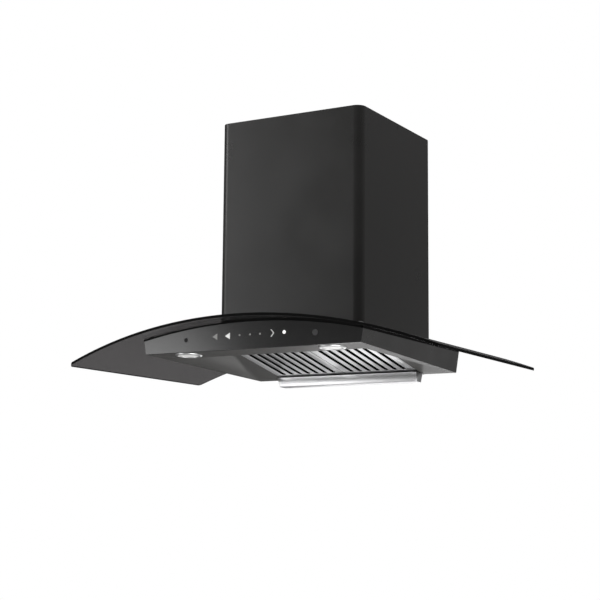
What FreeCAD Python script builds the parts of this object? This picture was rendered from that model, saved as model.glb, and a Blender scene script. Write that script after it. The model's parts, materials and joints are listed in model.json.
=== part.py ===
import FreeCAD, Part
import math
import os

from FreeCAD import Vector

# Wall-hung range hood with an arched glass canopy.
# X runs right, Y runs back to the wall (the wall plane is Y = 0), Z runs up.
# The origin is the centre of the four wall holes in the back plate.

os.makedirs("parts", exist_ok=True)

# ---- lengths that only have to be ample, for cuts
spare = 50.0
far = 1500.0

# ---- glass canopy
glass_width = 900.0
glass_depth = 555.0
glass_bow = 28.0               # how far the front edge bulges forward at its middle
glass_thickness = 6.0
arch_rise = 82.0               # drop of the glass from its crown to its side edges
glass_front_corner = 14.0
glass_rear_corner = 8.0
glass_wall_gap = 33.0
crown_drop = 300.0             # wall-hole centre above the crown of the glass
glass_hole_radius = 4.0
cutout_corner = 6.0

# ---- canopy body under the glass
body_setback = 62.0            # glass front edge to fascia, at the middle
body_depth = 484.0
body_top_width = 540.0         # where the sides meet the glass
body_lean = 8.5                # degrees that the sides lean in, going down
body_drop = 67.0               # crown of the glass to the bottom of the fascia
body_fall = 2.2                # degrees that the underside falls towards the wall
shell_wall = 1.2
gasket_thickness = 1.5
gasket_width = 7.0
fascia_thickness = 4.0
panel_sheet = 1.2
panel_upstand = 12.0
sheet_gap = 0.2                # between sheets that are screwed side by side

# ---- touch controls
sensor_spacing = 318.0
sensor_drop = 41.0
left_sensor_radius = 4.5
right_sensor_radius = 6.5
board_width = 330.0
board_height = 25.0
board_sheet = 1.6
board_window_gap = 3.0
standoff_radius = 3.0
clip_half_height = 5.0
clip_reach = 9.0               # board clips beyond the board's ends
board_lift = 2.0               # sensors to the middle of the board
driver_depth = 9.0

# ---- pressed dish in the underside
dish_lip = 78.0                # fascia face to the front edge of the dish
dish_half_width = 244.0        # at the level of the ridge's plumb line
dish_flare = 52.0              # degrees of the side walls from upright
dish_corner = 14.0
filter_slope = 11.3            # degrees that the filters fall towards the wall
hinge_forward = 54.0           # body rear to the filters' hinge line
hinge_drop = 74.2              # crown of the glass to the hinge line

# ---- baffle filters
filter_width = 183.2
filter_front = 210.0           # hinge line to the front edge
filter_rear = 9.0              # hinge line to the rear edge
filter_thickness = 10.0
filter_sheet = 0.8
filter_gap = 1.0               # between the two filters
slot_count = 7
slot_pitch = 22.6
slot_width = 8.6
filter_front_band = 15.0
filter_rear_band = 13.0
vane_flange = 5.2
upper_vane_width = 15.0
filter_rim_width = 7.0
filter_clearance = 0.8
hinge_pin_radius = 1.25
pin_fit = 0.05                 # radial running clearance
lug_width = 8.0
lug_offset = 60.0
lug_radius = 2.6
seat_sheet = 1.2
seat_ledge = 8.0
seat_rim = 4.0                 # ridge of the dish in front of the seat
ledge_gap = 0.4                # filter to the ledges, and to its notches
hinge_room = 0.7               # swept edge of the filter to the strip over it
rear_room = 3.5                # and to the frame's rear wall
strap_gap = 2.0
pin_inset = 6.0                # filter's side to the end of its pin
knob_radius = 8.0
knob_height = 8.0
knob_stem_radius = 3.0
knob_rim = 2.0
knob_grip_height = 4.0

# ---- oil tray
tray_half_length = 186.0
tray_height = 21.5
tray_top_depth = 32.0
tray_lean = 8.0
tray_taper = 4.0
tray_sheet = 1.0
tray_forward = 18.4            # body rear to the tray's rear wall
tray_panel_gap = 0.6
rail_height = 7.0
rail_width = 14.0
rail_clearance = 0.4
tray_lip = 1.5                 # rolled lip along the tray's lower front edge
hook_rise = 0.6                # height of the hook's toe, and of the rail's web

# ---- lamps
lamp_spacing = 356.0
lamp_setback = 39.0
lamp_radius = 30.0
lamp_hole_radius = 25.5
lamp_stand = 4.5
bezel_slope = 4.0
bezel_neck = 6.0               # how far the bezel reaches up through the panel
lens_radius = 22.0
lens_thickness = 2.0
module_radius = 20.0
module_height = 16.0
fin_slot = 2.5
fin_depth = 9.0
clip_width = 8.0
clip_sheet = 0.8
lens_inset = 1.5               # bezel face to the lens
clip_foot = 5.0                # lamp hole to the clip's foot
clip_rise = 6.0

# ---- glass fixings
fixing_inset = 12.0            # in from the body's side, along X
fixing_rear = 11.0             # body rear to the rear pair
fixing_front = 13.0            # fascia face to the front pair
cap_radius = 7.0
cap_height = 4.0
screw_radius = 2.0
nut_radius = 4.6
nut_height = 3.2
cap_edge = 2.5                 # how far the cap's top is narrower than its foot
small_flats = 8                # sides of the small fasteners and their holes
cap_flats = 16
hidden_flats = 24              # sides of the round bodies that the covers hide

# ---- chimney box
chimney_width = 364.0
chimney_depth = 365.0
chimney_height = 481.0
chimney_corner = 20.0
chimney_sheet = 1.0
chimney_return = 25.0
chimney_glass_gap = 0.3
top_recess = 16.0
top_sheet = 1.5
top_flange = 12.0
cover_gap = 0.3
screw_head = 3.0               # cover screws
screw_shank = 2.0
screw_reach = 3.0              # shank beyond the flange that it grips

# ---- wall plate and chassis
plate_sheet = 2.0
plate_gap = 1.5
plate_top = 150.0              # above the wall-hole centre
plate_bottom = 360.0           # below the wall-hole centre
wall_hole_x = 240.0
wall_hole_z = 200.0
wall_hole_radius = 4.5
neck_half_width = 140.0
neck_front = 338.0             # wall to the neck's front wall
neck_rise = 60.0
neck_flange = 12.0
side_height = 120.0

# ---- duct collar and damper
collar_radius = 75.0
collar_wall = 2.0
collar_stand = 40.0
collar_flange = 12.0
collar_y = -120.0
stop_width = 3.0               # the four stops that the closed flaps rest on
stop_height = 1.7
damper_height = 16.0           # hinge line above the collar's flange
damper_offset = 4.0
damper_pin_radius = 1.5
barrel_radius = 2.6
flap_sheet = 1.2
flap_gap = 1.2
rib_half = 2.0                 # stiffening rib on each flap
rib_height = 3.0
rib_share = 0.8                # of the flap's depth

# ---- blower
wheel_radius = 92.0
wheel_width = 120.0
blade_count = 28
blade_depth = 13.0
blade_sheet = 0.9
blade_sweep = 7.0              # degrees that a blade leans into the turn
blade_margin = 2.0             # blade tips to the wheel's rim
rim_sheet = 2.0
hub_radius = 14.0
hub_back = 4.0                 # from the wheel's disc towards the motor
hub_front = 12.0
shaft_radius = 4.0
scroll_clearance = 20.0        # wheel to the scroll at its first quarter
scroll_step = 14.0             # growth of the scroll's radius at each quarter
scroll_width = 150.0
scroll_sheet = 1.2
scroll_rise = 150.0            # wheel axis to the outlet
tongue_angle = 50.0
adapter_height = 70.0
quarter_flats = 6              # folds in each quarter of the adapter's round end
inlet_radius = 76.0
inlet_lip = 12.0
inlet_sheet = 1.2
inlet_flats = 24
mouth_gap = 4.0                # inlet rings to the openings in the scroll's sides
wheel_side_gap = 2.5           # wheel to the inlet rings
motor_radius = 45.0
motor_length = 82.0
motor_side = 24.0              # wheel's disc to the motor's end face
shaft_seat = 40.0              # how deep the shaft runs in the motor
shaft_tail = 6.0               # shaft beyond the wheel's hub
wheel_nut_height = 4.0
bracket_sheet = 3.0
mount_radius = 7.0
arm_width = 16.0
arm_margin = 2.0               # inlet lip to the rubber mounts
band_width = 10.0              # motor band beyond the arms
mount_seat = 1.6
strut_height = 40.0
strut_foot = 24.0
strut_sheet = 2.0

# ---- electrics on the wall plate
unit_width = 110.0
unit_height = 70.0
unit_depth = 38.0
unit_offset = 5.0              # middle of the plate to the case
unit_wall = 2.0
unit_board_depth = 10.0
unit_board_gap = 2.0
capacitor_radius = 15.0
capacitor_length = 62.0
gland_radius = 9.0
gland_bore = 4.0
gland_flange = 4.0             # hexagons beyond the gland's round neck
gland_head = 10.0
gland_nut = 4.0

# ---- places that follow from the sizes above
crown_z = -crown_drop
arch_radius = (glass_width ** 2 / 4 + arch_rise ** 2) / (2 * arch_rise)
glass_rear_y = -glass_wall_gap
glass_front_y = glass_rear_y - glass_depth
fascia_y = glass_front_y + body_setback
body_rear_y = fascia_y + body_depth
lean = math.tan(math.radians(body_lean))
fall = math.tan(math.radians(body_fall))
filter_fall = math.tan(math.radians(filter_slope))
hinge_y = body_rear_y - hinge_forward
hinge_z = crown_z - hinge_drop
top_z = crown_z + chimney_height
plate_z = top_z - top_recess
scroll_end = scroll_step * 2.5 + wheel_radius + scroll_clearance
first_radius = wheel_radius + scroll_clearance
tongue_x = -scroll_step / 2 + (first_radius - scroll_step) * math.cos(math.radians(tongue_angle))
wheel_y = collar_y - (tongue_x + scroll_end) / 2
wheel_z = plate_z - top_sheet - adapter_height - scroll_rise
head_z = crown_z + spare       # clear above the glass


def save(name, *solids):
    """Writes one sub-part, a single solid or a group of them."""
    shape = solids[0] if len(solids) == 1 else Part.makeCompound(list(solids))
    shape.exportStep("parts/" + name + ".step")


def box(low, high):
    size = [h - l for l, h in zip(low, high)]
    return Part.makeBox(size[0], size[1], size[2], Vector(*low))


def rounded_box(low, high, radius):
    """A box with its four upright edges rounded."""
    block = box(low, high)
    upright = [e for e in block.Edges if abs(e.tangentAt(e.FirstParameter).z) > 0.9]
    return block.makeFillet(radius, upright)


def rod(radius, start, end):
    start = Vector(*start)
    run = Vector(*end) - start
    return Part.makeCylinder(radius, run.Length, start, run)


def prism_xz(points, y_low, y_high):
    wire = Part.makePolygon([Vector(x, y_low, z) for x, z in points + points[:1]])
    return Part.Face(wire).extrude(Vector(0, y_high - y_low, 0))


def round_wire(sides, corner_radius, z):
    """Level regular polygon about the upright axis."""
    turn = 2 * math.pi / sides
    corners = [
        Vector(corner_radius * math.cos(i * turn), corner_radius * math.sin(i * turn), z)
        for i in range(sides)
    ]
    return Part.makePolygon(corners + corners[:1])


def prism_z(sides, corner_radius, z_low, z_high):
    """Upright prism with flat sides."""
    return Part.Face(round_wire(sides, corner_radius, z_low)).extrude(Vector(0, 0, z_high - z_low))


def bar(sides, corner_radius, start, end):
    """Straight bar with flat sides."""
    start = Vector(*start)
    run = Vector(*end) - start
    shape = prism_z(sides, corner_radius, 0, run.Length)
    shape.Placement = FreeCAD.Placement(start, FreeCAD.Rotation(Vector(0, 0, 1), run))
    return shape


def bar_hole(sides, radius, start, end):
    """Hole with flat sides that clears anything round of that radius."""
    return bar(sides, radius / math.cos(math.pi / sides), start, end)


def prism_yz(points, x_low, x_high, grow=0.0):
    wire = Part.makePolygon([Vector(x_low, y, z) for y, z in points + points[:1]])
    if grow:
        wire = wire.makeOffset2D(grow, 2)
    return Part.Face(wire).extrude(Vector(x_high - x_low, 0, 0))


def outward(solid):
    """The same solid with its faces pointing out."""
    return solid if solid.Volume > 0 else solid.reversed()


def mirrored(shape):
    return shape.mirror(Vector(0, 0, 0), Vector(1, 0, 0))


def under_z(y):
    """Height of the body's underside at a depth y."""
    return crown_z - body_drop - (y - fascia_y) * fall


def glass_z(x, depth_below=0.0):
    """Height of the glass's top face at x, or of a face parallel to it, further in."""
    radius = arch_radius - depth_below
    return crown_z - arch_radius + math.sqrt(radius ** 2 - x ** 2)


def arch_block(depth_below, y_low, y_high):
    """Everything under a surface that runs parallel to the glass's top face."""
    middle = crown_z - arch_radius
    return rod(arch_radius - depth_below, (0, y_low, middle), (0, y_high, middle))


def on_panel(shape, x, y):
    """Seats a shape that is drawn about the origin on the sloping underside."""
    placed = shape.copy()
    placed.rotate(Vector(0, 0, 0), Vector(1, 0, 0), -body_fall)
    placed.translate(Vector(x, y, under_z(y)))
    return placed


def on_glass(shape, x, y):
    """Seats a shape that is drawn about the origin square to the arched glass."""
    placed = shape.copy()
    placed.rotate(Vector(0, 0, 0), Vector(0, 1, 0), math.degrees(math.asin(x / arch_radius)))
    placed.translate(Vector(x, y, glass_z(x)))
    return placed


def on_filter_plane(shape):
    """Tilts a shape that is drawn about the filters' hinge line into place."""
    placed = shape.copy()
    placed.rotate(Vector(0, 0, 0), Vector(1, 0, 0), -filter_slope)
    placed.translate(Vector(0, hinge_y, hinge_z))
    return placed


# ---- glass

def plan_outline(z_low, z_high):
    """Upright prism over the glass's plan, which bulges forward in the middle."""
    half = glass_width / 2
    side_y = glass_front_y + glass_bow
    left = Vector(-half, side_y, z_low)
    right = Vector(half, side_y, z_low)
    front = Vector(0, glass_front_y, z_low)
    rear_left = Vector(-half, glass_rear_y, z_low)
    rear_right = Vector(half, glass_rear_y, z_low)
    edges = [
        Part.Arc(left, front, right).toShape(),
        Part.makeLine(right, rear_right),
        Part.makeLine(rear_right, rear_left),
        Part.makeLine(rear_left, left),
    ]
    block = Part.Face(Part.Wire(edges)).extrude(Vector(0, 0, z_high - z_low))
    for radius, place in ((glass_front_corner, left), (glass_rear_corner, rear_left)):
        upright = [
            e for e in block.Edges
            if abs(abs(e.CenterOfMass.x) - half) < 0.01 and abs(e.CenterOfMass.y - place.y) < 0.01
            and abs(e.tangentAt(e.FirstParameter).z) > 0.9
        ]
        block = block.makeFillet(radius, upright)
    return block


def fixing_places():
    """Centres of the four glass fixings, on the glass's plan."""
    x = body_top_width / 2 - fixing_inset
    return [(s * x, y) for y in (fascia_y + fixing_front, body_rear_y - fixing_rear) for s in (-1, 1)]


def inlet_block(gap, z_low, z_high):
    """The upright opening through deck and glass that the neck stands in."""
    low = (-neck_half_width - gap, -neck_front - gap, z_low)
    high = (neck_half_width + gap, body_rear_y - shell_wall - neck_flange + gap, z_high)
    return rounded_box(low, high, cutout_corner)


def make_glass():
    low = crown_z - arch_rise - glass_thickness - spare
    sheet = arch_block(0, -far, 0).cut(arch_block(glass_thickness, -far - 1, 1))
    sheet = sheet.common(plan_outline(low, head_z))
    sheet = sheet.cut(inlet_block(2 * cover_gap, low, head_z))
    for x, y in fixing_places():
        hole = bar_hole(small_flats, glass_hole_radius, (0, 0, -3 * glass_thickness), (0, 0, glass_thickness))
        sheet = sheet.cut(on_glass(hole, x, y))
    save("glass_canopy", sheet)


def make_gasket():
    """Rubber strip along the body's top edge, outside the screws."""
    outer = body_core(sheet_gap, 0, fascia_y + sheet_gap, body_rear_y - sheet_gap, -far, glass_thickness)
    inner = body_core(gasket_width, 0, fascia_y + gasket_width, body_rear_y - gasket_width, -far, 0)
    save("glass_gasket", outer.cut(inner).cut(arch_block(glass_thickness + gasket_thickness, -far, 0)))


def shank_hole(z_low, z_high):
    """Flat-sided hole that just clears a glass screw."""
    return bar_hole(small_flats, screw_radius + pin_fit, (0, 0, z_low), (0, 0, z_high))


def make_fixings():
    """Cap, screw, spacer bush and nut at each corner of the body."""
    spacer = glass_thickness + gasket_thickness
    stack = spacer + shell_wall
    nut_top = -stack - pin_fit
    nut_low = nut_top - nut_height
    foot = prism_z(cap_flats, cap_radius, 0, cap_height / 2)
    rim = round_wire(cap_flats, cap_radius, cap_height / 2)
    face = round_wire(cap_flats, cap_radius - cap_edge, cap_height)
    cap = foot.fuse(Part.makeLoft([rim, face], True, True)).removeSplitter()
    screw = prism_z(small_flats, screw_radius, nut_low, 0)
    bush = prism_z(small_flats, glass_hole_radius - pin_fit, -spacer, 0).cut(shank_hole(-spacer - 1, 1))
    nut = prism_z(6, nut_radius, nut_low, nut_top).cut(shank_hole(nut_low - 1, nut_top + 1))
    places = fixing_places()
    save("glass_screw_caps", *[on_glass(cap, x, y) for x, y in places])
    save("glass_screws", *[on_glass(screw, x, y) for x, y in places])
    save("glass_bushes", *[on_glass(bush, x, y) for x, y in places])
    save("glass_nuts", *[on_glass(nut, x, y) for x, y in places])


# ---- canopy body

def body_core(inset, deck, y_low, y_high, lift, below_glass=None):
    """Solid between the leaning sides, under the glass and above the sloping underside."""
    if below_glass is None:
        below_glass = glass_thickness + gasket_thickness
    corner_z = glass_z(body_top_width / 2, glass_thickness)
    low_z = crown_z - 3 * body_drop
    half_high = body_top_width / 2 + (head_z - corner_z) * lean - inset
    half_low = half_high - (head_z - low_z) * lean
    block = prism_xz(
        [(-half_low, low_z), (half_low, low_z), (half_high, head_z), (-half_high, head_z)],
        y_low, y_high,
    )
    block = block.common(arch_block(below_glass + deck, -far, 0))
    if lift > -far:
        floor_low = under_z(y_low - 10) + lift
        floor_high = under_z(y_high + 10) + lift
        above = prism_yz(
            [(y_low - 10, floor_low), (y_high + 10, floor_high), (y_high + 10, far), (y_low - 10, far)],
            -far, far,
        )
        block = block.common(above)
    return block


def make_shell():
    front = fascia_y + fascia_thickness
    shell = body_core(0, 0, front, body_rear_y, 0)
    hollow = body_core(shell_wall, shell_wall, front + shell_wall, body_rear_y - shell_wall, -far)
    shell = shell.cut(hollow)
    shell = shell.cut(inlet_block(0, crown_z - body_drop, head_z))
    window_low = (-board_width / 2 - board_window_gap, front - 1, board_z() - board_height / 2 - board_window_gap)
    window_high = (board_width / 2 + board_window_gap, front + shell_wall + 1,
                   board_z() + board_height / 2 + board_window_gap)
    shell = shell.cut(box(window_low, window_high))
    hole = shank_hole(-4 * glass_thickness, glass_thickness)
    for x, y in fixing_places():
        shell = shell.cut(on_glass(hole, x, y))
    save("canopy_shell", shell)


def board_z():
    return crown_z - sensor_drop + board_lift


def sensor_places():
    half = sensor_spacing / 2
    return ((-half, left_sensor_radius), (half, right_sensor_radius))


def make_fascia():
    panel = body_core(0, 0, fascia_y, fascia_y + fascia_thickness, 0)
    windows = []
    for x, radius in sensor_places():
        start = (x, fascia_y, crown_z - sensor_drop)
        end = (x, fascia_y + fascia_thickness, crown_z - sensor_drop)
        panel = panel.cut(bar_hole(hidden_flats, radius, start, end))
        windows.append(bar(hidden_flats, radius - pin_fit, start, end))
    save("control_fascia", panel)
    save("sensor_window_left", windows[0])
    save("sensor_window_right", windows[1])


def make_board():
    front = fascia_y + fascia_thickness + sheet_gap
    middle = board_z()
    board = box((-board_width / 2, front, middle - board_height / 2),
                (board_width / 2, front + board_sheet, middle + board_height / 2))
    driver = box((-board_width / 8, front + board_sheet, middle - board_height / 3),
                 (board_width / 8, front + board_sheet + driver_depth, middle + board_height / 3))
    save("control_board", board.fuse(driver).removeSplitter())
    pads = []
    clip_back = front + board_sheet + sheet_gap
    for s in (-1, 1):
        inner = s * (board_width / 2 - 2 * standoff_radius)
        outer = s * (board_width / 2 + clip_reach)
        clip = box((min(inner, outer), clip_back, middle - clip_half_height),
                   (max(inner, outer), clip_back + board_sheet, middle + clip_half_height))
        pads.append(clip)
    save("board_clips", *pads)


# ---- underside

def ridge():
    """Where the dish's front slope meets the plane of the filters."""
    u = -filter_front - 3 * filter_clearance - seat_sheet - seat_rim
    w = -filter_thickness / 2
    angle = math.radians(filter_slope)
    y = hinge_y + u * math.cos(angle) + w * math.sin(angle)
    z = hinge_z - u * math.sin(angle) + w * math.cos(angle)
    return y, z


def dish_block(grow):
    """The room that the pressed dish encloses, or that room grown by the sheet."""
    ridge_y, ridge_z = ridge()
    lip_y = fascia_y + dish_lip
    rear_y = ridge_y + (ridge_z - under_z(ridge_y)) / (filter_fall - fall)
    along = prism_yz(
        [(lip_y, under_z(lip_y)), (ridge_y, ridge_z), (rear_y, under_z(rear_y)),
         (rear_y, crown_z - 3 * body_drop), (lip_y, crown_z - 3 * body_drop)],
        -far / 3, far / 3, grow,
    )
    flare = math.tan(math.radians(dish_flare))
    level = under_z((lip_y + rear_y) / 2)
    high = crown_z
    low = crown_z - 3 * body_drop
    slant = grow / math.cos(math.radians(dish_flare))
    half_high = dish_half_width - (high - level) * flare + slant
    half_low = dish_half_width + (level - low) * flare + slant
    across = prism_xz([(-half_low, low), (half_low, low), (half_high, high), (-half_high, high)], -far, far)
    room = along.common(across)
    creases = [
        e for e in room.Edges
        if e.CenterOfMass.z > crown_z - 1.4 * body_drop and abs(e.CenterOfMass.x) > 1
    ]
    return room.makeFillet(dish_corner + grow, creases)


def panel_slab(inset, low_lift, high_lift):
    """A flat slice parallel to the underside, inside the shell's walls."""
    y_low = fascia_y + fascia_thickness + shell_wall + inset
    y_high = body_rear_y - shell_wall - inset
    core = body_core(shell_wall + inset, 0, y_low, y_high, low_lift)
    return core.cut(body_core(-spare, 0, y_low - spare, y_high + spare, high_lift))


def filter_opening(w_low, w_high):
    """The rectangular opening for both filters, square to their plane."""
    half = filter_width + filter_gap / 2 + filter_clearance
    rear = math.hypot(filter_rear, filter_thickness / 2) + rear_room
    return on_filter_plane(box((-half, -filter_front - filter_clearance, w_low), (half, rear, w_high)))


def lamp_places():
    y = fascia_y + lamp_setback
    return [(s * lamp_spacing / 2, y) for s in (-1, 1)]


def make_bottom_panel():
    plate = panel_slab(sheet_gap, 0, panel_sheet)
    upstand = panel_slab(sheet_gap, 0, panel_upstand).cut(panel_slab(sheet_gap + panel_sheet, -1, panel_upstand + 1))
    above = body_core(-spare, 0, -far, 0, 0)
    skin = dish_block(panel_sheet).common(above).cut(dish_block(0))
    panel = plate.cut(dish_block(0)).fuse([upstand, skin])
    panel = panel.cut(filter_opening(-3 * filter_thickness, 3 * filter_thickness))
    for x, y in lamp_places():
        hole = bar_hole(hidden_flats, lamp_hole_radius, (0, 0, -panel_upstand), (0, 0, panel_upstand))
        panel = panel.cut(on_panel(hole, x, y))
    save("bottom_panel", panel.removeSplitter())


def make_seat_frame():
    """Ledges that the filters close against, and the lugs of their hinge pins."""
    half = filter_width + filter_gap / 2 + filter_clearance
    base = -filter_thickness / 2 + panel_sheet
    ledge = filter_thickness / 2 + ledge_gap
    rear_top = math.hypot(filter_rear, filter_thickness / 2) + hinge_room
    rear_end = math.hypot(filter_rear, filter_thickness / 2) + rear_room
    front_end = -filter_front - filter_clearance
    strap_front = -lug_radius - strap_gap
    pieces = []
    for s in (-1, 1):
        wall = box((half, front_end, base), (half + seat_sheet, rear_end, ledge + seat_sheet))
        tall = box((half, strap_front, base), (half + seat_sheet, rear_end, rear_top + seat_sheet))
        shelf = box((half - seat_ledge, front_end, ledge), (half + seat_sheet, strap_front, ledge + seat_sheet))
        for piece in (wall, tall, shelf):
            pieces.append(piece if s > 0 else mirrored(piece))
    outer = half + seat_sheet
    pieces.append(box((-outer, strap_front, rear_top), (outer, rear_end + seat_sheet, rear_top + seat_sheet)))
    pieces.append(box((-outer, rear_end, base), (outer, rear_end + seat_sheet, rear_top + seat_sheet)))
    pieces.append(box((-outer, front_end - seat_sheet, base), (outer, front_end, ledge + seat_sheet)))
    spine = seat_ledge
    pieces.append(box((-spine, front_end - seat_sheet, ledge), (spine, strap_front, ledge + seat_sheet)))
    pieces.append(box((-spine, strap_front, ledge), (spine, strap_front + seat_sheet, rear_top + seat_sheet)))
    for x in lug_places():
        low = x - lug_width / 2
        high = x + lug_width / 2
        lug = box((low, -lug_radius, 0), (high, lug_radius, rear_top + seat_sheet))
        lug = lug.fuse(bar(small_flats, lug_radius, (low, 0, 0), (high, 0, 0)))
        bore = bar_hole(small_flats, hinge_pin_radius + pin_fit, (low - 1, 0, 0), (high + 1, 0, 0))
        pieces.append(lug.cut(bore))
    frame = pieces[0].fuse(pieces[1:]).removeSplitter()
    save("filter_seat_frame", on_filter_plane(frame))


# ---- filters

def filter_middle(side):
    return side * (filter_width + filter_gap) / 2


def lug_places():
    return [filter_middle(s) + t * lug_offset for s in (-1, 1) for t in (-1, 1)]


def slot_places(side):
    first = filter_middle(side) - (slot_count - 1) * slot_pitch / 2
    return [first + i * slot_pitch for i in range(slot_count)]


def make_filter(side, word):
    middle = filter_middle(side)
    x_low = middle - filter_width / 2
    x_high = middle + filter_width / 2
    low = -filter_thickness / 2
    high = filter_thickness / 2
    t = filter_sheet
    rail_front = filter_rear - filter_rear_band
    window_front = -filter_front + filter_front_band
    edge_slot = (slot_count - 1) * slot_pitch / 2 + slot_width / 2

    frame = box((x_low, -filter_front, low), (x_high, filter_rear, high))
    frame = frame.cut(box((x_low + t, -filter_front + t, low + t), (x_high - t, rail_front, high - t)))
    frame = frame.cut(box((middle - edge_slot, window_front, low - 1), (middle + edge_slot, rail_front, low + t + 1)))
    rim = filter_rim_width
    frame = frame.cut(box((x_low + rim, -filter_front + rim, high - t - 1), (x_high - rim, rail_front, high + 1)))
    for s in (-1, 1):
        lip = box((middle + s * edge_slot - (t if s < 0 else 0), window_front, low),
                  (middle + s * edge_slot + (t if s > 0 else 0), rail_front, low + vane_flange))
        frame = frame.fuse(lip)
    notch_depth = lug_radius + ledge_gap
    for x in lug_places():
        if abs(x - middle) > filter_width / 2:
            continue
        notch = box((x - lug_width / 2 - 1, rail_front - 1, -notch_depth),
                    (x + lug_width / 2 + 1, filter_rear + 1, high + 1))
        frame = frame.cut(notch)
    pin = bar(small_flats, hinge_pin_radius, (x_low + pin_inset, 0, 0), (x_high - pin_inset, 0, 0))
    save("filter_" + word + "_frame", on_filter_plane(frame.cut(pin).removeSplitter()))
    save("filter_" + word + "_hinge_pin", on_filter_plane(pin))

    lower = []
    slots = slot_places(side)
    vane_half = (slot_pitch - slot_width) / 2
    for left, right in zip(slots, slots[1:]):
        x = (left + right) / 2
        vane = box((x - vane_half, window_front, low), (x + vane_half, rail_front, low + vane_flange))
        room = box((x - vane_half + t, window_front - 1, low + t), (x + vane_half - t, rail_front + 1, high))
        vane = vane.cut(room)
        lower.append(on_filter_plane(vane))
    save("filter_" + word + "_lower_vanes", *lower)

    upper = []
    cap_half = upper_vane_width / 2
    for x in slots:
        front = -filter_front + t
        vane = box((x - cap_half, front, high - t - vane_flange), (x + cap_half, rail_front, high - t))
        vane = vane.cut(box((x - cap_half + t, front - 1, low), (x + cap_half - t, rail_front + 1, high - 2 * t)))
        upper.append(on_filter_plane(vane))
    save("filter_" + word + "_upper_vanes", *upper)

    knob_y = -filter_front + filter_front_band / 2
    bottom = low - knob_height
    stem = bar(small_flats, knob_stem_radius, (middle, knob_y, bottom), (middle, knob_y, low))
    grip_top = bottom + knob_grip_height
    grip = bar(hidden_flats, knob_radius - knob_rim, (middle, knob_y, bottom), (middle, knob_y, grip_top))
    save("filter_" + word + "_knob", on_filter_plane(stem.fuse(grip)))


# ---- oil tray

def tray_frame():
    """Rear top edge of the tray, in a frame parallel to the underside."""
    return body_rear_y - tray_forward


def tray_solid(inset):
    """The tray's outside, or the room inside its sheet."""
    top = -tray_panel_gap
    low = top - tray_height + inset
    front, rear = inset - tray_top_depth, -inset
    end = tray_half_length - inset
    share = 1 - inset / tray_height
    low_front = front + tray_lean * share
    low_end = end - tray_taper * share
    along = prism_yz([(front, top), (rear, top), (rear, low), (low_front, low)], -far, far)
    across = prism_xz([(-end, top), (end, top), (low_end, low), (-low_end, low)], -far, far)
    return along.common(across)


def make_tray():
    """Folded trough, and the rear strip welded to it with the hook that runs in the rail."""
    whole = tray_solid(0)
    rear = box((-far, -tray_sheet, -far), (far, far, far))
    top = -tray_panel_gap
    web_top = top - rail_clearance - tray_sheet
    hook = box((-tray_half_length, 0, web_top - tray_sheet), (tray_half_length, rail_width / 2, web_top))
    toe = box((-tray_half_length, rail_width / 2 - tray_sheet, web_top - tray_sheet),
              (tray_half_length, rail_width / 2, web_top + tray_sheet * hook_rise))
    lip_y = -tray_top_depth + tray_lean
    lip_z = top - tray_height
    lip_half = tray_half_length - tray_taper
    lip = box((-lip_half, lip_y - tray_lip, lip_z), (lip_half, lip_y, lip_z + tray_lip))
    trough = whole.cut([tray_solid(tray_sheet), rear]).fuse(lip).removeSplitter()
    strip = whole.common(rear).fuse([hook, toe]).removeSplitter()
    save("oil_tray", on_panel(trough, 0, tray_frame()))
    save("tray_rear_strip", on_panel(strip, 0, tray_frame()))


def make_tray_rail():
    """Channel under the panel's rear strip that the tray's hook runs in."""
    t = tray_sheet
    top = 0.0
    web = box((-tray_half_length, rail_clearance, top - t * hook_rise), (tray_half_length, rail_width, top))
    back = box((-tray_half_length, rail_width - t, top - rail_height), (tray_half_length, rail_width, top))
    low = top - rail_height
    floor = box((-tray_half_length, rail_clearance, low), (tray_half_length, rail_width, low + t))
    rail = web.fuse([back, floor]).removeSplitter()
    save("tray_rail", on_panel(rail, 0, tray_frame()))


# ---- lamps

def lamp_bezel():
    """Turned ring with a sloping face, drawn below the origin."""
    outer = lamp_radius
    inner = lens_radius
    points = [
        (inner + pin_fit, -lamp_stand), (outer - bezel_slope, -lamp_stand), (outer, 0),
        (lamp_hole_radius - cover_gap, 0), (lamp_hole_radius - cover_gap, bezel_neck), (inner + pin_fit, bezel_neck),
    ]
    wire = Part.makePolygon([Vector(r, 0, z) for r, z in points + points[:1]])
    return Part.Face(wire).revolve(Vector(0, 0, 0), Vector(0, 0, 1), 360)


def make_lamps():
    bezels, lenses, modules, clips = [], [], [], []
    lens_low = -lamp_stand + lens_inset
    module_low = lens_low + lens_thickness + pin_fit
    for x, y in lamp_places():
        bezels.append(on_panel(lamp_bezel(), x, y))
        lenses.append(on_panel(rod(lens_radius, (0, 0, lens_low), (0, 0, lens_low + lens_thickness)), x, y))
        body = prism_z(hidden_flats, module_radius, module_low, module_low + module_height)
        for i in (-1, 0, 1):
            slot_x = i * module_radius / 2
            slot = box((slot_x - fin_slot / 2, -far, module_low + module_height - fin_depth),
                       (slot_x + fin_slot / 2, far, module_low + module_height + 1))
            body = body.cut(slot)
        modules.append(on_panel(body, x, y))
        for s in (-1, 1):
            tip = s * (module_radius + sheet_gap)
            foot = s * (lamp_hole_radius + clip_foot)
            inside = foot - s * clip_sheet
            arm_low = clip_rise + sheet_gap
            arm_high = arm_low + clip_sheet
            arm = box((min(tip, foot), -clip_width / 2, arm_low), (max(tip, foot), clip_width / 2, arm_high))
            leg = box((min(foot, inside), -clip_width / 2, panel_sheet + sheet_gap),
                      (max(foot, inside), clip_width / 2, arm_high))
            clips.append(on_panel(arm.fuse(leg).removeSplitter(), x, y))
    save("lamp_bezels", *bezels)
    save("lamp_lenses", *lenses)
    save("lamp_modules", *modules)
    save("lamp_clips", *clips)


# ---- chimney box, wall plate and chassis

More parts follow.
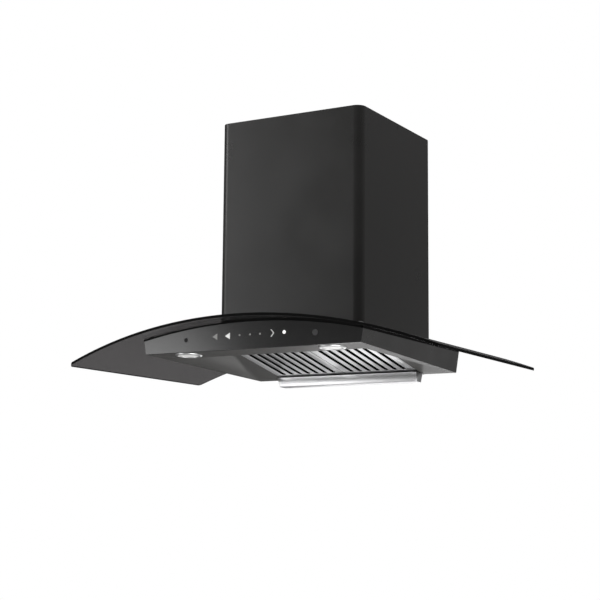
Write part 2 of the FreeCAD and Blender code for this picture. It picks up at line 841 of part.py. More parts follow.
def chimney_block(inset, z_low, z_high):
    half = chimney_width / 2 - inset
    return rounded_box((-half, -chimney_depth + inset, z_low), (half, -inset, z_high), chimney_corner - inset)


def cover_screw_places():
    z = plate_z + top_flange / 2
    return [(s, -chimney_depth / 2, z) for s in (-1, 1)]


def make_chimney():
    low = crown_z - arch_rise
    cover = chimney_block(0, low, top_z)
    cover = cover.cut(chimney_block(chimney_sheet, low - 1, top_z + 1))
    opening = chimney_width / 2 - chimney_return
    cover = cover.cut(box((-opening, -2 * chimney_sheet, low - 1), (opening, 1, top_z + 1)))
    cover = cover.cut(arch_block(-chimney_glass_gap, -far, 1))
    screws = []
    for s, y, z in cover_screw_places():
        x = s * chimney_width / 2
        inside = x - s * chimney_sheet
        tip = inside - s * (cover_gap + 2 * top_sheet + screw_reach)
        head = bar(small_flats, screw_head, (x, y, z), (inside, y, z))
        shank = bar(small_flats, screw_shank, (inside, y, z), (tip, y, z))
        screws.append(head.fuse(shank).removeSplitter())
        cover = cover.cut(bar_hole(small_flats, screw_head + pin_fit, (x, y, z), (inside, y, z)))
    save("chimney_cover", cover)
    save("cover_screws", *screws)


def make_top_plate():
    inset = chimney_sheet + cover_gap
    tray = chimney_block(inset, plate_z - top_sheet, plate_z + top_flange)
    tray = tray.cut(chimney_block(inset + top_sheet, plate_z, plate_z + top_flange + 1))
    duct = rod(collar_radius - collar_wall, (0, collar_y, plate_z - top_flange), (0, collar_y, plate_z + top_flange))
    tray = tray.cut(duct)
    gland_x, gland_y = gland_place()
    below, above = (gland_x, gland_y, plate_z - top_flange), (gland_x, gland_y, plate_z + top_flange)
    tray = tray.cut(bar_hole(small_flats, gland_radius, below, above))
    for s, y, z in cover_screw_places():
        x = s * chimney_width / 2
        tray = tray.cut(bar_hole(small_flats, screw_shank + pin_fit, (x, y, z), (x - s * top_flange, y, z)))
    save("top_plate", tray)


def gland_place():
    return chimney_width / 2 - 2.5 * chimney_corner, -2.5 * chimney_corner


def make_gland():
    """Cable gland: round neck through the top plate, a hexagon above it and one below."""
    x, y = gland_place()
    low = plate_z - top_sheet
    corner = gland_radius + gland_flange
    neck = prism_z(small_flats, gland_radius - pin_fit, low - gland_nut, plate_z + gland_head)
    head = prism_z(6, corner, plate_z, plate_z + gland_head)
    nut = prism_z(6, corner, low - gland_nut, low)
    gland = neck.fuse([head, nut]).cut(rod(gland_bore, (0, 0, low - far), (0, 0, far)))
    gland = gland.removeSplitter()
    gland.translate(Vector(x, y, 0))
    save("cable_gland", gland)


def make_back_plate():
    half = chimney_width / 2 - chimney_return - plate_gap
    plate = box((-half, -plate_sheet, -plate_bottom), (half, 0, plate_top))
    flange_y = glass_rear_y + plate_gap
    foot_y = body_rear_y + sheet_gap
    foot_z = glass_z(half, glass_thickness) - plate_gap
    flange = box((half - plate_sheet, flange_y, -plate_bottom), (half, 0, plate_top))
    foot = box((half - plate_sheet, foot_y, -plate_bottom), (half, 0, foot_z))
    plate = plate.fuse([flange, mirrored(flange), foot, mirrored(foot)])
    for x in (-wall_hole_x / 2, wall_hole_x / 2):
        for z in (-wall_hole_z / 2, wall_hole_z / 2):
            plate = plate.cut(rod(wall_hole_radius, (x, -plate_sheet - 1, z), (x, 1, z)))
    top = box((-half, flange_y, plate_top - plate_sheet), (half, 0, plate_top))
    save("back_plate", plate.fuse(top).removeSplitter())


def make_neck():
    """Collar that stands on the canopy's deck inside the glass's cut-out."""
    low_z = crown_z - body_drop
    outer = inlet_block(-cover_gap, low_z, crown_z + neck_rise)
    inner = inlet_block(-cover_gap - shell_wall, low_z - 1, crown_z + neck_rise + 1)
    wall = outer.cut(inner)
    below = glass_thickness + gasket_thickness + shell_wall + sheet_gap
    deck_under = arch_block(below, -far, 0)
    flange = inlet_block(neck_flange - 2, low_z, crown_z).cut(inner)
    flange = flange.common(deck_under).cut(arch_block(below + shell_wall, -far, 0))
    upper = wall.cut(arch_block(below + shell_wall, -far, 0))
    save("inlet_neck", upper.fuse(flange).removeSplitter())


def make_chassis_sides():
    """Side plates that hang the canopy's neck from the wall plate."""
    x = neck_half_width - cover_gap + sheet_gap
    low = crown_z + 2
    plate = box((x, -neck_front + 2 * cutout_corner, low),
                (x + plate_sheet, -plate_sheet - sheet_gap, crown_z + side_height))
    save("chassis_side_left", mirrored(plate))
    save("chassis_side_right", plate)


# ---- duct collar and damper

def make_collar():
    base = plate_z
    inner = collar_radius - collar_wall
    foot = (0, collar_y, base)
    pipe = rod(collar_radius, foot, (0, collar_y, base + collar_stand))
    flange = bar(2 * hidden_flats, collar_radius + collar_flange, foot, (0, collar_y, base + collar_wall))
    collar = pipe.fuse(flange).cut(bar_hole(2 * hidden_flats, inner, foot, (0, collar_y, base + collar_stand)))
    stop_z = base + damper_height - flap_sheet / 2
    stops = []
    for i in range(4):
        stop = box((inner - stop_width, -stop_width, stop_z - stop_height),
                   (inner + collar_wall / 2, stop_width, stop_z - sheet_gap))
        stop.rotate(Vector(0, 0, 0), Vector(0, 0, 1), 45 + 90 * i)
        stop.translate(Vector(0, collar_y, 0))
        stops.append(stop)
    collar = collar.fuse(stops)
    for s in (-1, 1):
        y = collar_y + s * damper_offset
        z = base + damper_height
        reach = math.sqrt(collar_radius ** 2 - damper_offset ** 2)
        collar = collar.cut(bar(small_flats, damper_pin_radius, (-reach, y, z), (reach, y, z)))
    save("duct_collar", collar.removeSplitter())


def make_damper_pins():
    pins = []
    reach = math.sqrt((collar_radius - sheet_gap) ** 2 - damper_offset ** 2)
    for s in (-1, 1):
        y = collar_y + s * damper_offset
        z = plate_z + damper_height
        pins.append(bar(small_flats, damper_pin_radius, (-reach, y, z), (reach, y, z)))
    save("damper_pins", *pins)


def make_flap(side, word):
    """Half disc on a barrel that turns about its own pin; closed it lies level."""
    z = plate_z + damper_height
    y = collar_y + side * damper_offset
    radius = collar_radius - collar_wall - flap_gap
    low, high = z - flap_sheet / 2, z + flap_sheet / 2
    disc = bar(2 * hidden_flats, radius, (0, collar_y, low), (0, collar_y, high))
    disc = disc.common(box((-far, min(y, y + side * far), low), (far, max(y, y + side * far), high)))
    reach = math.sqrt(radius ** 2 - (damper_offset + barrel_radius) ** 2) - flap_gap
    barrel = bar(small_flats, barrel_radius, (-reach, y, z), (reach, y, z))
    rib_end = y + side * radius * rib_share
    rib = box((-rib_half, min(y, rib_end), z), (rib_half, max(y, rib_end), z + rib_height))
    bore = bar_hole(small_flats, damper_pin_radius + pin_fit, (-far, y, z), (far, y, z))
    flap = disc.fuse([barrel, rib]).cut(bore)
    save("damper_flap_" + word, flap.removeSplitter())


# ---- blower

def scroll_wire(x, grow):
    """Spiral in four quarter arcs, with its outlet upright at the rear."""
    step = scroll_step
    r1 = first_radius + grow
    r0 = r1 - step
    r2 = r1 + step
    r3 = r2 + step

    def at(cy, cz, radius, degrees):
        angle = math.radians(degrees)
        return Vector(x, wheel_y + cy + radius * math.cos(angle), wheel_z + cz + radius * math.sin(angle))

    centres = [(-step / 2, step / 2), (-step / 2, -step / 2), (step / 2, -step / 2), (step / 2, step / 2)]
    top = wheel_z + scroll_rise
    edges = []
    tongue = at(centres[0][0], centres[0][1], r0, tongue_angle)
    spans = [(0, r0, tongue_angle, 90), (1, r1, 90, 180), (2, r2, 180, 270), (3, r3, 270, 360)]
    for index, radius, start, end in spans:
        cy, cz = centres[index]
        first, last = at(cy, cz, radius, start), at(cy, cz, radius, end)
        edges.append(Part.Arc(first, at(cy, cz, radius, (start + end) / 2), last).toShape())
    right = at(centres[3][0], centres[3][1], r3, 0)
    corner = Vector(x, right.y, top)
    inner = Vector(x, tongue.y, top)
    edges.append(Part.makeLine(right, corner))
    edges.append(Part.makeLine(corner, inner))
    edges.append(Part.makeLine(inner, tongue))
    return Part.Wire(edges)


def make_scroll():
    half = scroll_width / 2
    t = scroll_sheet
    outer = Part.Face(scroll_wire(-half, 0)).extrude(Vector(scroll_width, 0, 0))
    shell_wire = scroll_wire(-half + t, 0).makeOffset2D(-t)
    room = Part.Face(shell_wire).extrude(Vector(scroll_width - 2 * t, 0, 0))
    mouth_low = (-half + t, wheel_y + tongue_x + t, wheel_z + scroll_rise - 2 * t)
    mouth_high = (half - t, wheel_y + scroll_end - t, wheel_z + scroll_rise + 1)
    scroll = outer.cut(room).cut(box(mouth_low, mouth_high))
    scroll = scroll.cut(prism_yz(round_points(inlet_radius + mouth_gap, inlet_flats), -far, far))
    save("blower_scroll", scroll)


def round_points(radius, count):
    """Corners of a regular polygon about the wheel's axis, as (y, z)."""
    turn = 2 * math.pi / count
    return [
        (wheel_y + radius * math.cos(i * turn), wheel_z + radius * math.sin(i * turn))
        for i in range(count)
    ]


def make_inlet_rings():
    """Flanged ring at each side of the scroll: the lip outside, the spigot reaching in to the wheel."""
    half = scroll_width / 2
    outer_face = half + sheet_gap + inlet_sheet
    spigot_end = wheel_width / 2 + wheel_side_gap
    bore = prism_yz(round_points(inlet_radius, inlet_flats), 0, far)
    lip = prism_yz(round_points(inlet_radius + inlet_lip, inlet_flats), half + sheet_gap, outer_face)
    spigot = prism_yz(round_points(inlet_radius + inlet_sheet, inlet_flats), spigot_end, outer_face)
    right = lip.fuse(spigot).cut(bore).removeSplitter()
    save("inlet_rings", mirrored(right), right)


def blade_section(angle):
    """Corners of one blade, leaning into the turn, as (y, z)."""
    outer = wheel_radius - blade_margin
    inner = outer - blade_depth
    thick = math.degrees(blade_sheet / wheel_radius)
    front = [(inner, 0.0), (outer, blade_sweep)]
    back = [(radius, turned + thick) for radius, turned in reversed(front)]
    section = []
    for radius, turned in front + back:
        a = math.radians(angle + turned)
        section.append((wheel_y + radius * math.cos(a), wheel_z + radius * math.sin(a)))
    return section


def make_wheel():
    """Double-inlet wheel: a disc on its hub, blades, and a rim at each end."""
    half = wheel_width / 2
    centre = (wheel_y, wheel_z)
    root = wheel_radius - blade_margin - blade_depth
    blades = [prism_yz(blade_section(360.0 * i / blade_count), -half, half) for i in range(blade_count)]
    disc = prism_yz(round_points(root + blade_margin, blade_count), -rim_sheet / 2, rim_sheet / 2)
    hub = prism_yz(round_points(hub_radius, hidden_flats), -hub_back, hub_front)
    open_middle = prism_yz(round_points(root, blade_count), -far, far)
    rim = prism_yz(round_points(wheel_radius, blade_count), half - rim_sheet, half).cut(open_middle)
    wheel = disc.fuse([hub, rim, mirrored(rim)] + blades)
    wheel = wheel.cut(rod(shaft_radius + pin_fit, (-far, *centre), (far, *centre)))
    save("fan_wheel", wheel.removeSplitter())


def make_motor():
    centre = (wheel_y, wheel_z)
    face = -motor_side
    body = prism_yz(round_points(motor_radius, hidden_flats), face - motor_length, face)
    boss = prism_yz(round_points(hub_radius, hidden_flats), face - 1, face + hub_back)
    motor = body.fuse(boss).cut(rod(shaft_radius + pin_fit, (face - shaft_seat, *centre), (far, *centre)))
    save("blower_motor", motor.removeSplitter())
    save("motor_shaft", rod(shaft_radius, (face - shaft_seat + 1, *centre), (hub_front + shaft_tail, *centre)))
    nut = prism_yz(round_points(hub_radius - hub_back, 6), hub_front, hub_front + wheel_nut_height)
    save("wheel_nut", nut.cut(rod(shaft_radius + pin_fit, (0, *centre), (far, *centre))))


def make_motor_bracket():
    """Band round the motor with three arms out to the scroll's side."""
    half = scroll_width / 2
    x_high = -half - mount_seat - mount_radius
    x_low = x_high - bracket_sheet
    reach = inlet_radius + inlet_lip + mount_radius + arm_margin
    inside = (motor_radius + sheet_gap) / math.cos(math.pi / hidden_flats)
    band = prism_yz(round_points(inside + bracket_sheet, hidden_flats), x_low - band_width, x_high)
    band = band.cut(prism_yz(round_points(inside, hidden_flats), -far, far))
    arms, mounts = [], []
    for i in range(3):
        angle = 90.0 + 120.0 * i
        arm = box((x_low, -arm_width / 2, inside + bracket_sheet / 2), (x_high, arm_width / 2, reach + mount_radius))
        arm.rotate(Vector(0, 0, 0), Vector(1, 0, 0), angle - 90.0)
        arm.translate(Vector(0, wheel_y, wheel_z))
        arms.append(arm)
        a = math.radians(angle)
        y, z = wheel_y + reach * math.cos(a), wheel_z + reach * math.sin(a)
        mounts.append(bar(small_flats, mount_radius, (x_high + pin_fit, y, z), (-half - pin_fit, y, z)))
    save("motor_bracket", band.fuse(arms).removeSplitter())
    save("motor_mounts", *mounts)


def transition(inset):
    """Solid from the scroll's oblong outlet to a round end, folded in flats as sheet is."""
    low_z = wheel_z + scroll_rise + sheet_gap
    high_z = plate_z - top_sheet - sheet_gap
    half = scroll_width / 2 - inset
    y_front = wheel_y + tongue_x + inset
    y_rear = wheel_y + scroll_end - inset
    radius = collar_radius - collar_wall - inset
    corners = [
        Vector(half, y_rear, low_z), Vector(-half, y_rear, low_z),
        Vector(-half, y_front, low_z), Vector(half, y_front, low_z),
    ]
    round_end = []
    for i in range(4 * quarter_flats):
        a = math.pi / 2 * i / quarter_flats
        round_end.append(Vector(radius * math.cos(a), collar_y + radius * math.sin(a), high_z))
    loops = [corners, round_end]
    for i, point in enumerate(round_end):
        following = round_end[(i + 1) % len(round_end)]
        loops.append([corners[i // quarter_flats], point, following])
    for i, corner in enumerate(corners):
        meeting = round_end[(i + 1) * quarter_flats % len(round_end)]
        loops.append([corner, meeting, corners[(i + 1) % 4]])
    faces = [Part.Face(Part.makePolygon(loop + loop[:1])) for loop in loops]
    skin = Part.makeCompound(faces)
    skin.sewShape()
    return outward(Part.Solid(skin.Shells[0]))


def make_adapter():
    """Sheet transition from the scroll's outlet up to the duct collar."""
    save("outlet_adapter", transition(0).cut(transition(scroll_sheet)))


def make_blower_brackets():
    """Struts between the wall plate and the scroll's flat rear wall."""
    struts = []
    y_front = wheel_y + scroll_end + sheet_gap
    for s in (-1, 1):
        x = s * scroll_width / 3
        low = wheel_z + (scroll_rise - strut_height) / 2
        high = low + strut_height
        y_rear = -plate_sheet - sheet_gap
        web = box((x - strut_sheet / 2, y_front, low), (x + strut_sheet / 2, y_rear, high))
        foot_front = box((x - strut_foot / 2, y_front, low), (x + strut_foot / 2, y_front + strut_sheet, high))
        foot_rear = box((x - strut_foot / 2, y_rear - strut_sheet, low), (x + strut_foot / 2, y_rear, high))
        struts.append(web.fuse([foot_front, foot_rear]).removeSplitter())
    save("blower_struts", *struts)


def make_electrics():
    back = -plate_sheet - sheet_gap
    z = crown_z + side_height + unit_height
    low_z, high_z = z - unit_height / 2, z + unit_height / 2
    left, right = -unit_offset - unit_width, -unit_offset
    t = unit_wall
    case = box((left, back - unit_depth, low_z), (right, back, high_z))
    case = case.cut(box((left + t, back - far, low_z + t), (right - t, back - t, high_z - t)))
    lid_y = back - unit_depth - sheet_gap
    lid = box((left, lid_y - t, low_z), (right, lid_y, high_z))
    gap = t + unit_board_gap
    board_y = back - t - unit_board_depth
    board = box((left + gap, board_y, low_z + gap), (right - gap, back - t - pin_fit, high_z - gap))
    save("power_unit_case", case)
    save("power_unit_lid", lid)
    save("power_unit_board", board)
    y = back - capacitor_radius
    low = z - capacitor_length / 2
    x = unit_width / 2
    can = bar(hidden_flats, capacitor_radius, (x, y, low), (x, y, low + capacitor_length))
    save("run_capacitor", can)


make_glass()
make_gasket()
make_fixings()
make_shell()
make_fascia()
make_board()
make_bottom_panel()
make_seat_frame()
make_filter(-1, "left")
make_filter(1, "right")
make_tray()
make_tray_rail()
make_lamps()
make_chimney()
make_top_plate()
make_gland()
make_back_plate()
make_neck()
make_chassis_sides()
make_collar()
make_damper_pins()
make_flap(-1, "front")
make_flap(1, "rear")
make_scroll()
make_inlet_rings()
make_wheel()
make_motor()
make_motor_bracket()
make_adapter()
make_blower_brackets()
make_electrics()
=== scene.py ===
import bpy
import bmesh
import json
import math
from mathutils import Matrix, Vector

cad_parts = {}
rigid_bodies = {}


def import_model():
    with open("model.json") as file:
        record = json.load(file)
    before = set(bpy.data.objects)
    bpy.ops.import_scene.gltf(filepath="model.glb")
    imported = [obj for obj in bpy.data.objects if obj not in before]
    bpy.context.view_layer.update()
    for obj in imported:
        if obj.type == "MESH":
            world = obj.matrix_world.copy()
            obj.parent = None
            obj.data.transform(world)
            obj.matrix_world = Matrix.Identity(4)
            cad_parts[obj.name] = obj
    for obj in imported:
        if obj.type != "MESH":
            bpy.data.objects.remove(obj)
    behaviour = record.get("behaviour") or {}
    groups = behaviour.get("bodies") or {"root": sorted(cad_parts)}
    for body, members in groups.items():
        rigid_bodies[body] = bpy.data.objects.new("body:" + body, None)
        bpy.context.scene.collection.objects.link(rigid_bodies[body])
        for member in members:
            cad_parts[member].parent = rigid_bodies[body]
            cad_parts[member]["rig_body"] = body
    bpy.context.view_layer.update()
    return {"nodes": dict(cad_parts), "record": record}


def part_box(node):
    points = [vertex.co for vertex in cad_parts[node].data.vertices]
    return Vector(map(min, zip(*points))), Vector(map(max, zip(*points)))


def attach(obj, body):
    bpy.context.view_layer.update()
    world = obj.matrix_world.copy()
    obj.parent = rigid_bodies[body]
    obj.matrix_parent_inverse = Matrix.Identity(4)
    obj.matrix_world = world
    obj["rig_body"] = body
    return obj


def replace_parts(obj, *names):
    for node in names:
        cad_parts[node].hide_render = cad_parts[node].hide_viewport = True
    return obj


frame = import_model()
nodes = frame["nodes"]
print("frame loaded:", len(nodes), "nodes")

mm = 0.001
weld = 0.002 * mm    # points closer than this are one
hair = 1e-6    # tolerance of a cut, in metres
flatAngle = math.radians(0.6)    # faces that turn less than this are one flat face
noiseSpan = (0.3, 0.7)    # where most of a noise lies


def grey(tone):
    return (tone, tone, tone)


# the camera stands where the photographer stood
view = {
    "place": (1.58176, -3.08446, -0.71270),
    "turn": 29.688,    # degrees to the left of straight at the wall
    "tilt": 8.513,     # degrees up
    "roll": 0.488,
    "lens": 86.31,
    "sensor": 36,
}


def placeCamera():
    turn, tilt, roll = (math.radians(view[key]) for key in ("turn", "tilt", "roll"))
    ahead = Vector((-math.sin(turn) * math.cos(tilt), math.cos(turn) * math.cos(tilt), math.sin(tilt)))
    level = Vector((math.cos(turn), math.sin(turn), 0))
    upward = level.cross(ahead)
    across = level * math.cos(roll) + upward * math.sin(roll)
    upright = upward * math.cos(roll) - level * math.sin(roll)
    data = bpy.data.cameras.new("hoodCamera")
    data.lens = view["lens"]
    data.sensor_width = view["sensor"]
    camera = bpy.data.objects.new("hoodCamera", data)
    bpy.context.scene.collection.objects.link(camera)
    matrix = Matrix((across, upright, -ahead)).transposed().to_4x4()
    matrix.translation = Vector(view["place"])
    camera.matrix_world = matrix
    bpy.context.scene.camera = camera


placeCamera()
print("camera placed")


def addNode(tree, kind, **inputs):
    # a shader node with the named inputs set, or linked where a socket is given
    node = tree.nodes.new(kind)
    for name, value in inputs.items():
        socket = node.inputs[int(name[1:])] if name[0] == "i" and name[1:].isdigit() else node.inputs[name]
        if isinstance(value, bpy.types.NodeSocket):
            tree.links.new(value, socket)
        else:
            socket.default_value = value
    return node


def ramp(tree, factor, low, high, lowPlace=0.0, highPlace=1.0):
    # linear remap of a value
    node = tree.nodes.new("ShaderNodeMapRange")
    node.inputs["From Min"].default_value = lowPlace
    node.inputs["From Max"].default_value = highPlace
    node.inputs["To Min"].default_value = low
    node.inputs["To Max"].default_value = high
    tree.links.new(factor, node.inputs["Value"])
    return node.outputs["Result"]


def newGroup(name, inputs, outputs):
    group = bpy.data.node_groups.new(name, "ShaderNodeTree")
    for label, kind, value in inputs:
        socket = group.interface.new_socket(name=label, in_out="INPUT", socket_type=kind)
        socket.default_value = value
    for label, kind in outputs:
        group.interface.new_socket(name=label, in_out="OUTPUT", socket_type=kind)
    start = group.nodes.new("NodeGroupInput")
    end = group.nodes.new("NodeGroupOutput")
    return group, start, end


def makeMottle():
    # soft uneven tone: two sizes of noise, and a fine height for the bump
    group, start, end = newGroup(
        "mottle",
        [("Vector", "NodeSocketVector", (0, 0, 0)), ("Coarse", "NodeSocketFloat", 12.0),
         ("Fine", "NodeSocketFloat", 600.0)],
        [("Tone", "NodeSocketFloat"), ("Height", "NodeSocketFloat")],
    )
    coarse = addNode(group, "ShaderNodeTexNoise", Vector=start.outputs["Vector"], Scale=start.outputs["Coarse"],
                     Detail=3.0, Roughness=0.55)
    fine = addNode(group, "ShaderNodeTexNoise", Vector=start.outputs["Vector"], Scale=start.outputs["Fine"],
                   Detail=2.0, Roughness=0.5)
    group.links.new(coarse.outputs["Fac"], end.inputs["Tone"])
    group.links.new(fine.outputs["Fac"], end.inputs["Height"])
    return group


def makeHairline():
    # long scratches that run along one direction: noise squeezed by the stretch vector
    group, start, end = newGroup(
        "hairline",
        [("Vector", "NodeSocketVector", (0, 0, 0)), ("Stretch", "NodeSocketVector", (1200, 8, 1200))],
        [("Line", "NodeSocketFloat"), ("Broad", "NodeSocketFloat")],
    )
    squeezed = addNode(group, "ShaderNodeVectorMath", i0=start.outputs["Vector"], i1=start.outputs["Stretch"])
    squeezed.operation = "MULTIPLY"
    line = addNode(group, "ShaderNodeTexNoise", Vector=squeezed.outputs[0], Scale=1.0, Detail=4.0, Roughness=0.65)
    wide = addNode(group, "ShaderNodeVectorMath", i0=squeezed.outputs[0], i1=(0.06, 0.3, 0.06))
    wide.operation = "MULTIPLY"
    broad = addNode(group, "ShaderNodeTexNoise", Vector=wide.outputs[0], Scale=1.0, Detail=2.0, Roughness=0.5)
    group.links.new(line.outputs["Fac"], end.inputs["Line"])
    group.links.new(broad.outputs["Fac"], end.inputs["Broad"])
    return group


mottle = makeMottle()
hairline = makeHairline()


def useGroup(tree, group, **inputs):
    node = tree.nodes.new("ShaderNodeGroup")
    node.node_tree = group
    for name, value in inputs.items():
        if isinstance(value, bpy.types.NodeSocket):
            tree.links.new(value, node.inputs[name])
        else:
            node.inputs[name].default_value = value
    return node.outputs


def newMaterial(name):
    material = bpy.data.materials.new(name)
    material.use_nodes = True
    tree = material.node_tree
    surface = tree.nodes["Principled BSDF"]
    place = tree.nodes.new("ShaderNodeTexCoord").outputs["Object"]
    return material, tree, surface, place


def tint(tree, factor, dark, light):
    # colour between two tones by a 0 to 1 value
    node = tree.nodes.new("ShaderNodeMix")
    node.data_type = "RGBA"
    tree.links.new(factor, node.inputs["Factor"])
    node.inputs["A"].default_value = (*dark, 1)
    node.inputs["B"].default_value = (*light, 1)
    return node.outputs["Result"]


def bump(tree, surface, height, strength, depth):
    node = addNode(tree, "ShaderNodeBump", Height=height, Strength=strength, Distance=depth)
    tree.links.new(node.outputs["Normal"], surface.inputs["Normal"])


coat = {
    "dark": (0.0135, 0.013, 0.0125), "light": (0.019, 0.0182, 0.0175), "roughness": (0.27, 0.36),
    "specular": 0.55, "patches": 9.0, "grain": 900.0, "bump": 0.06, "depth": 0.0002,
}


def makeBlackCoat():
    # satin black powder coat on sheet steel
    material, tree, surface, place = newMaterial("blackCoat")
    uneven = useGroup(tree, mottle, Vector=place, Coarse=coat["patches"], Fine=coat["grain"])
    tree.links.new(tint(tree, uneven["Tone"], coat["dark"], coat["light"]), surface.inputs["Base Color"])
    tree.links.new(ramp(tree, uneven["Tone"], *coat["roughness"], *noiseSpan), surface.inputs["Roughness"])
    surface.inputs["Specular IOR Level"].default_value = coat["specular"]
    bump(tree, surface, uneven["Height"], coat["bump"], coat["depth"])
    return material


gloss = {
    "dark": grey(0.010), "light": (0.013, 0.013, 0.0128), "roughness": (0.15, 0.19),
    "specular": 0.6, "patches": 5.0, "grain": 300.0, "bump": 0.02, "depth": 0.0001,
}


def makeTouchPanel():
    # smooth black front with a deep gloss
    material, tree, surface, place = newMaterial("touchPanel")
    uneven = useGroup(tree, mottle, Vector=place, Coarse=gloss["patches"], Fine=gloss["grain"])
    tree.links.new(tint(tree, uneven["Tone"], gloss["dark"], gloss["light"]), surface.inputs["Base Color"])
    tree.links.new(ramp(tree, uneven["Tone"], *gloss["roughness"], *noiseSpan), surface.inputs["Roughness"])
    surface.inputs["Specular IOR Level"].default_value = gloss["specular"]
    bump(tree, surface, uneven["Height"], gloss["bump"], gloss["depth"])
    return material


smoke = {
    "dark": (0.090, 0.086, 0.087), "light": (0.098, 0.094, 0.095), "roughness": (0.03, 0.045),
    "index": 1.45, "patches": 3.0, "ripple": 60.0,
}


def makeSmokedGlass():
    # dark body-tinted glass
    material, tree, surface, place = newMaterial("smokedGlass")
    uneven = useGroup(tree, mottle, Vector=place, Coarse=smoke["patches"], Fine=smoke["ripple"])
    tree.links.new(tint(tree, uneven["Tone"], smoke["dark"], smoke["light"]), surface.inputs["Base Color"])
    tree.links.new(ramp(tree, uneven["Height"], *smoke["roughness"]), surface.inputs["Roughness"])
    surface.inputs["Transmission Weight"].default_value = 1.0
    surface.inputs["IOR"].default_value = smoke["index"]
    return material


lineDepth = 0.0001    # of a brushed hairline, in metres
grainDepth = 0.0003    # of a moulded or cast grain


def makeBrushed(name, dark, light, roughness, stretch, strength):
    # steel with hairlines along one way
    material, tree, surface, place = newMaterial(name)
    lines = useGroup(tree, hairline, Vector=place, Stretch=stretch)
    tree.links.new(tint(tree, lines["Broad"], dark, light), surface.inputs["Base Color"])
    tree.links.new(ramp(tree, lines["Line"], *roughness, *noiseSpan), surface.inputs["Roughness"])
    surface.inputs["Metallic"].default_value = 1.0
    bump(tree, surface, lines["Line"], strength, lineDepth)
    return material


zinc = {"spangle": 110.0, "dark": (0.42, 0.43, 0.44), "light": (0.60, 0.61, 0.62), "roughness": (0.32, 0.50)}


def makeGalvanised():
    # zinc-coated sheet with its crystal spangle
    material, tree, surface, place = newMaterial("galvanised")
    spangle = addNode(tree, "ShaderNodeTexVoronoi", Vector=place, Scale=zinc["spangle"], Randomness=1.0)
    parts = tree.nodes.new("ShaderNodeSeparateColor")
    tree.links.new(spangle.outputs["Color"], parts.inputs[0])
    tree.links.new(tint(tree, parts.outputs[0], zinc["dark"], zinc["light"]), surface.inputs["Base Color"])
    tree.links.new(ramp(tree, parts.outputs[1], *zinc["roughness"]), surface.inputs["Roughness"])
    surface.inputs["Metallic"].default_value = 1.0
    return material


def makePlain(name, dark, light, roughness, coarse, fine, strength, metallic=0.0, specular=0.5):
    # moulded, cast or rubber surfaces: uneven tone and a fine grain
    material, tree, surface, place = newMaterial(name)
    uneven = useGroup(tree, mottle, Vector=place, Coarse=coarse, Fine=fine)
    tree.links.new(tint(tree, uneven["Tone"], dark, light), surface.inputs["Base Color"])
    tree.links.new(ramp(tree, uneven["Height"], *roughness, *noiseSpan), surface.inputs["Roughness"])
    surface.inputs["Metallic"].default_value = metallic
    surface.inputs["Specular IOR Level"].default_value = specular
    bump(tree, surface, uneven["Height"], strength, grainDepth)
    return material


frost = {
    "dark": (0.50, 0.50, 0.49), "light": (0.58, 0.58, 0.57), "roughness": (0.30, 0.45),
    "patches": 40.0, "grain": 700.0, "bump": 0.02, "glow": (1, 0.99, 0.97, 1), "strength": 0.12,
}


def makeLens():
    # frosted lamp diffuser, faintly lit from within
    material, tree, surface, place = newMaterial("frostedLens")
    uneven = useGroup(tree, mottle, Vector=place, Coarse=frost["patches"], Fine=frost["grain"])
    tree.links.new(tint(tree, uneven["Tone"], frost["dark"], frost["light"]), surface.inputs["Base Color"])
    tree.links.new(ramp(tree, uneven["Height"], *frost["roughness"]), surface.inputs["Roughness"])
    surface.inputs["Emission Color"].default_value = frost["glow"]
    surface.inputs["Emission Strength"].default_value = frost["strength"]
    bump(tree, surface, uneven["Height"], frost["bump"], grainDepth)
    return material


ink = {"patches": 150.0, "grain": 900.0, "fade": 0.95, "roughness": 0.5}


def makeMark(name, colour, glow):
    # printed and softly lit touch symbol
    material, tree, surface, place = newMaterial(name)
    uneven = useGroup(tree, mottle, Vector=place, Coarse=ink["patches"], Fine=ink["grain"])
    faded = [part * ink["fade"] for part in colour]
    tree.links.new(tint(tree, uneven["Tone"], faded, colour), surface.inputs["Base Color"])
    surface.inputs["Roughness"].default_value = ink["roughness"]
    surface.inputs["Emission Color"].default_value = (*colour, 1)
    surface.inputs["Emission Strength"].default_value = glow
    return material


# material, dark and light tone, roughness, noise scale along each axis, strength of the lines
brushed = {
    "brushed_stainless": ("brushedSteel", (0.84, 0.84, 0.845), (0.90, 0.90, 0.905), (0.28, 0.38), (1400, 7, 1400),
                          0.04),
    "polished_steel": ("traySteel", (0.80, 0.80, 0.81), (0.86, 0.86, 0.87), (0.34, 0.42), (9, 1100, 1100), 0.02),
    "chrome_trim": ("satinChrome", (0.62, 0.62, 0.63), (0.74, 0.74, 0.75), (0.14, 0.22), (500, 500, 500), 0.03),
    "spring_steel": ("zincSteel", (0.45, 0.45, 0.44), (0.58, 0.58, 0.57), (0.25, 0.40), (700, 700, 700), 0.08),
}
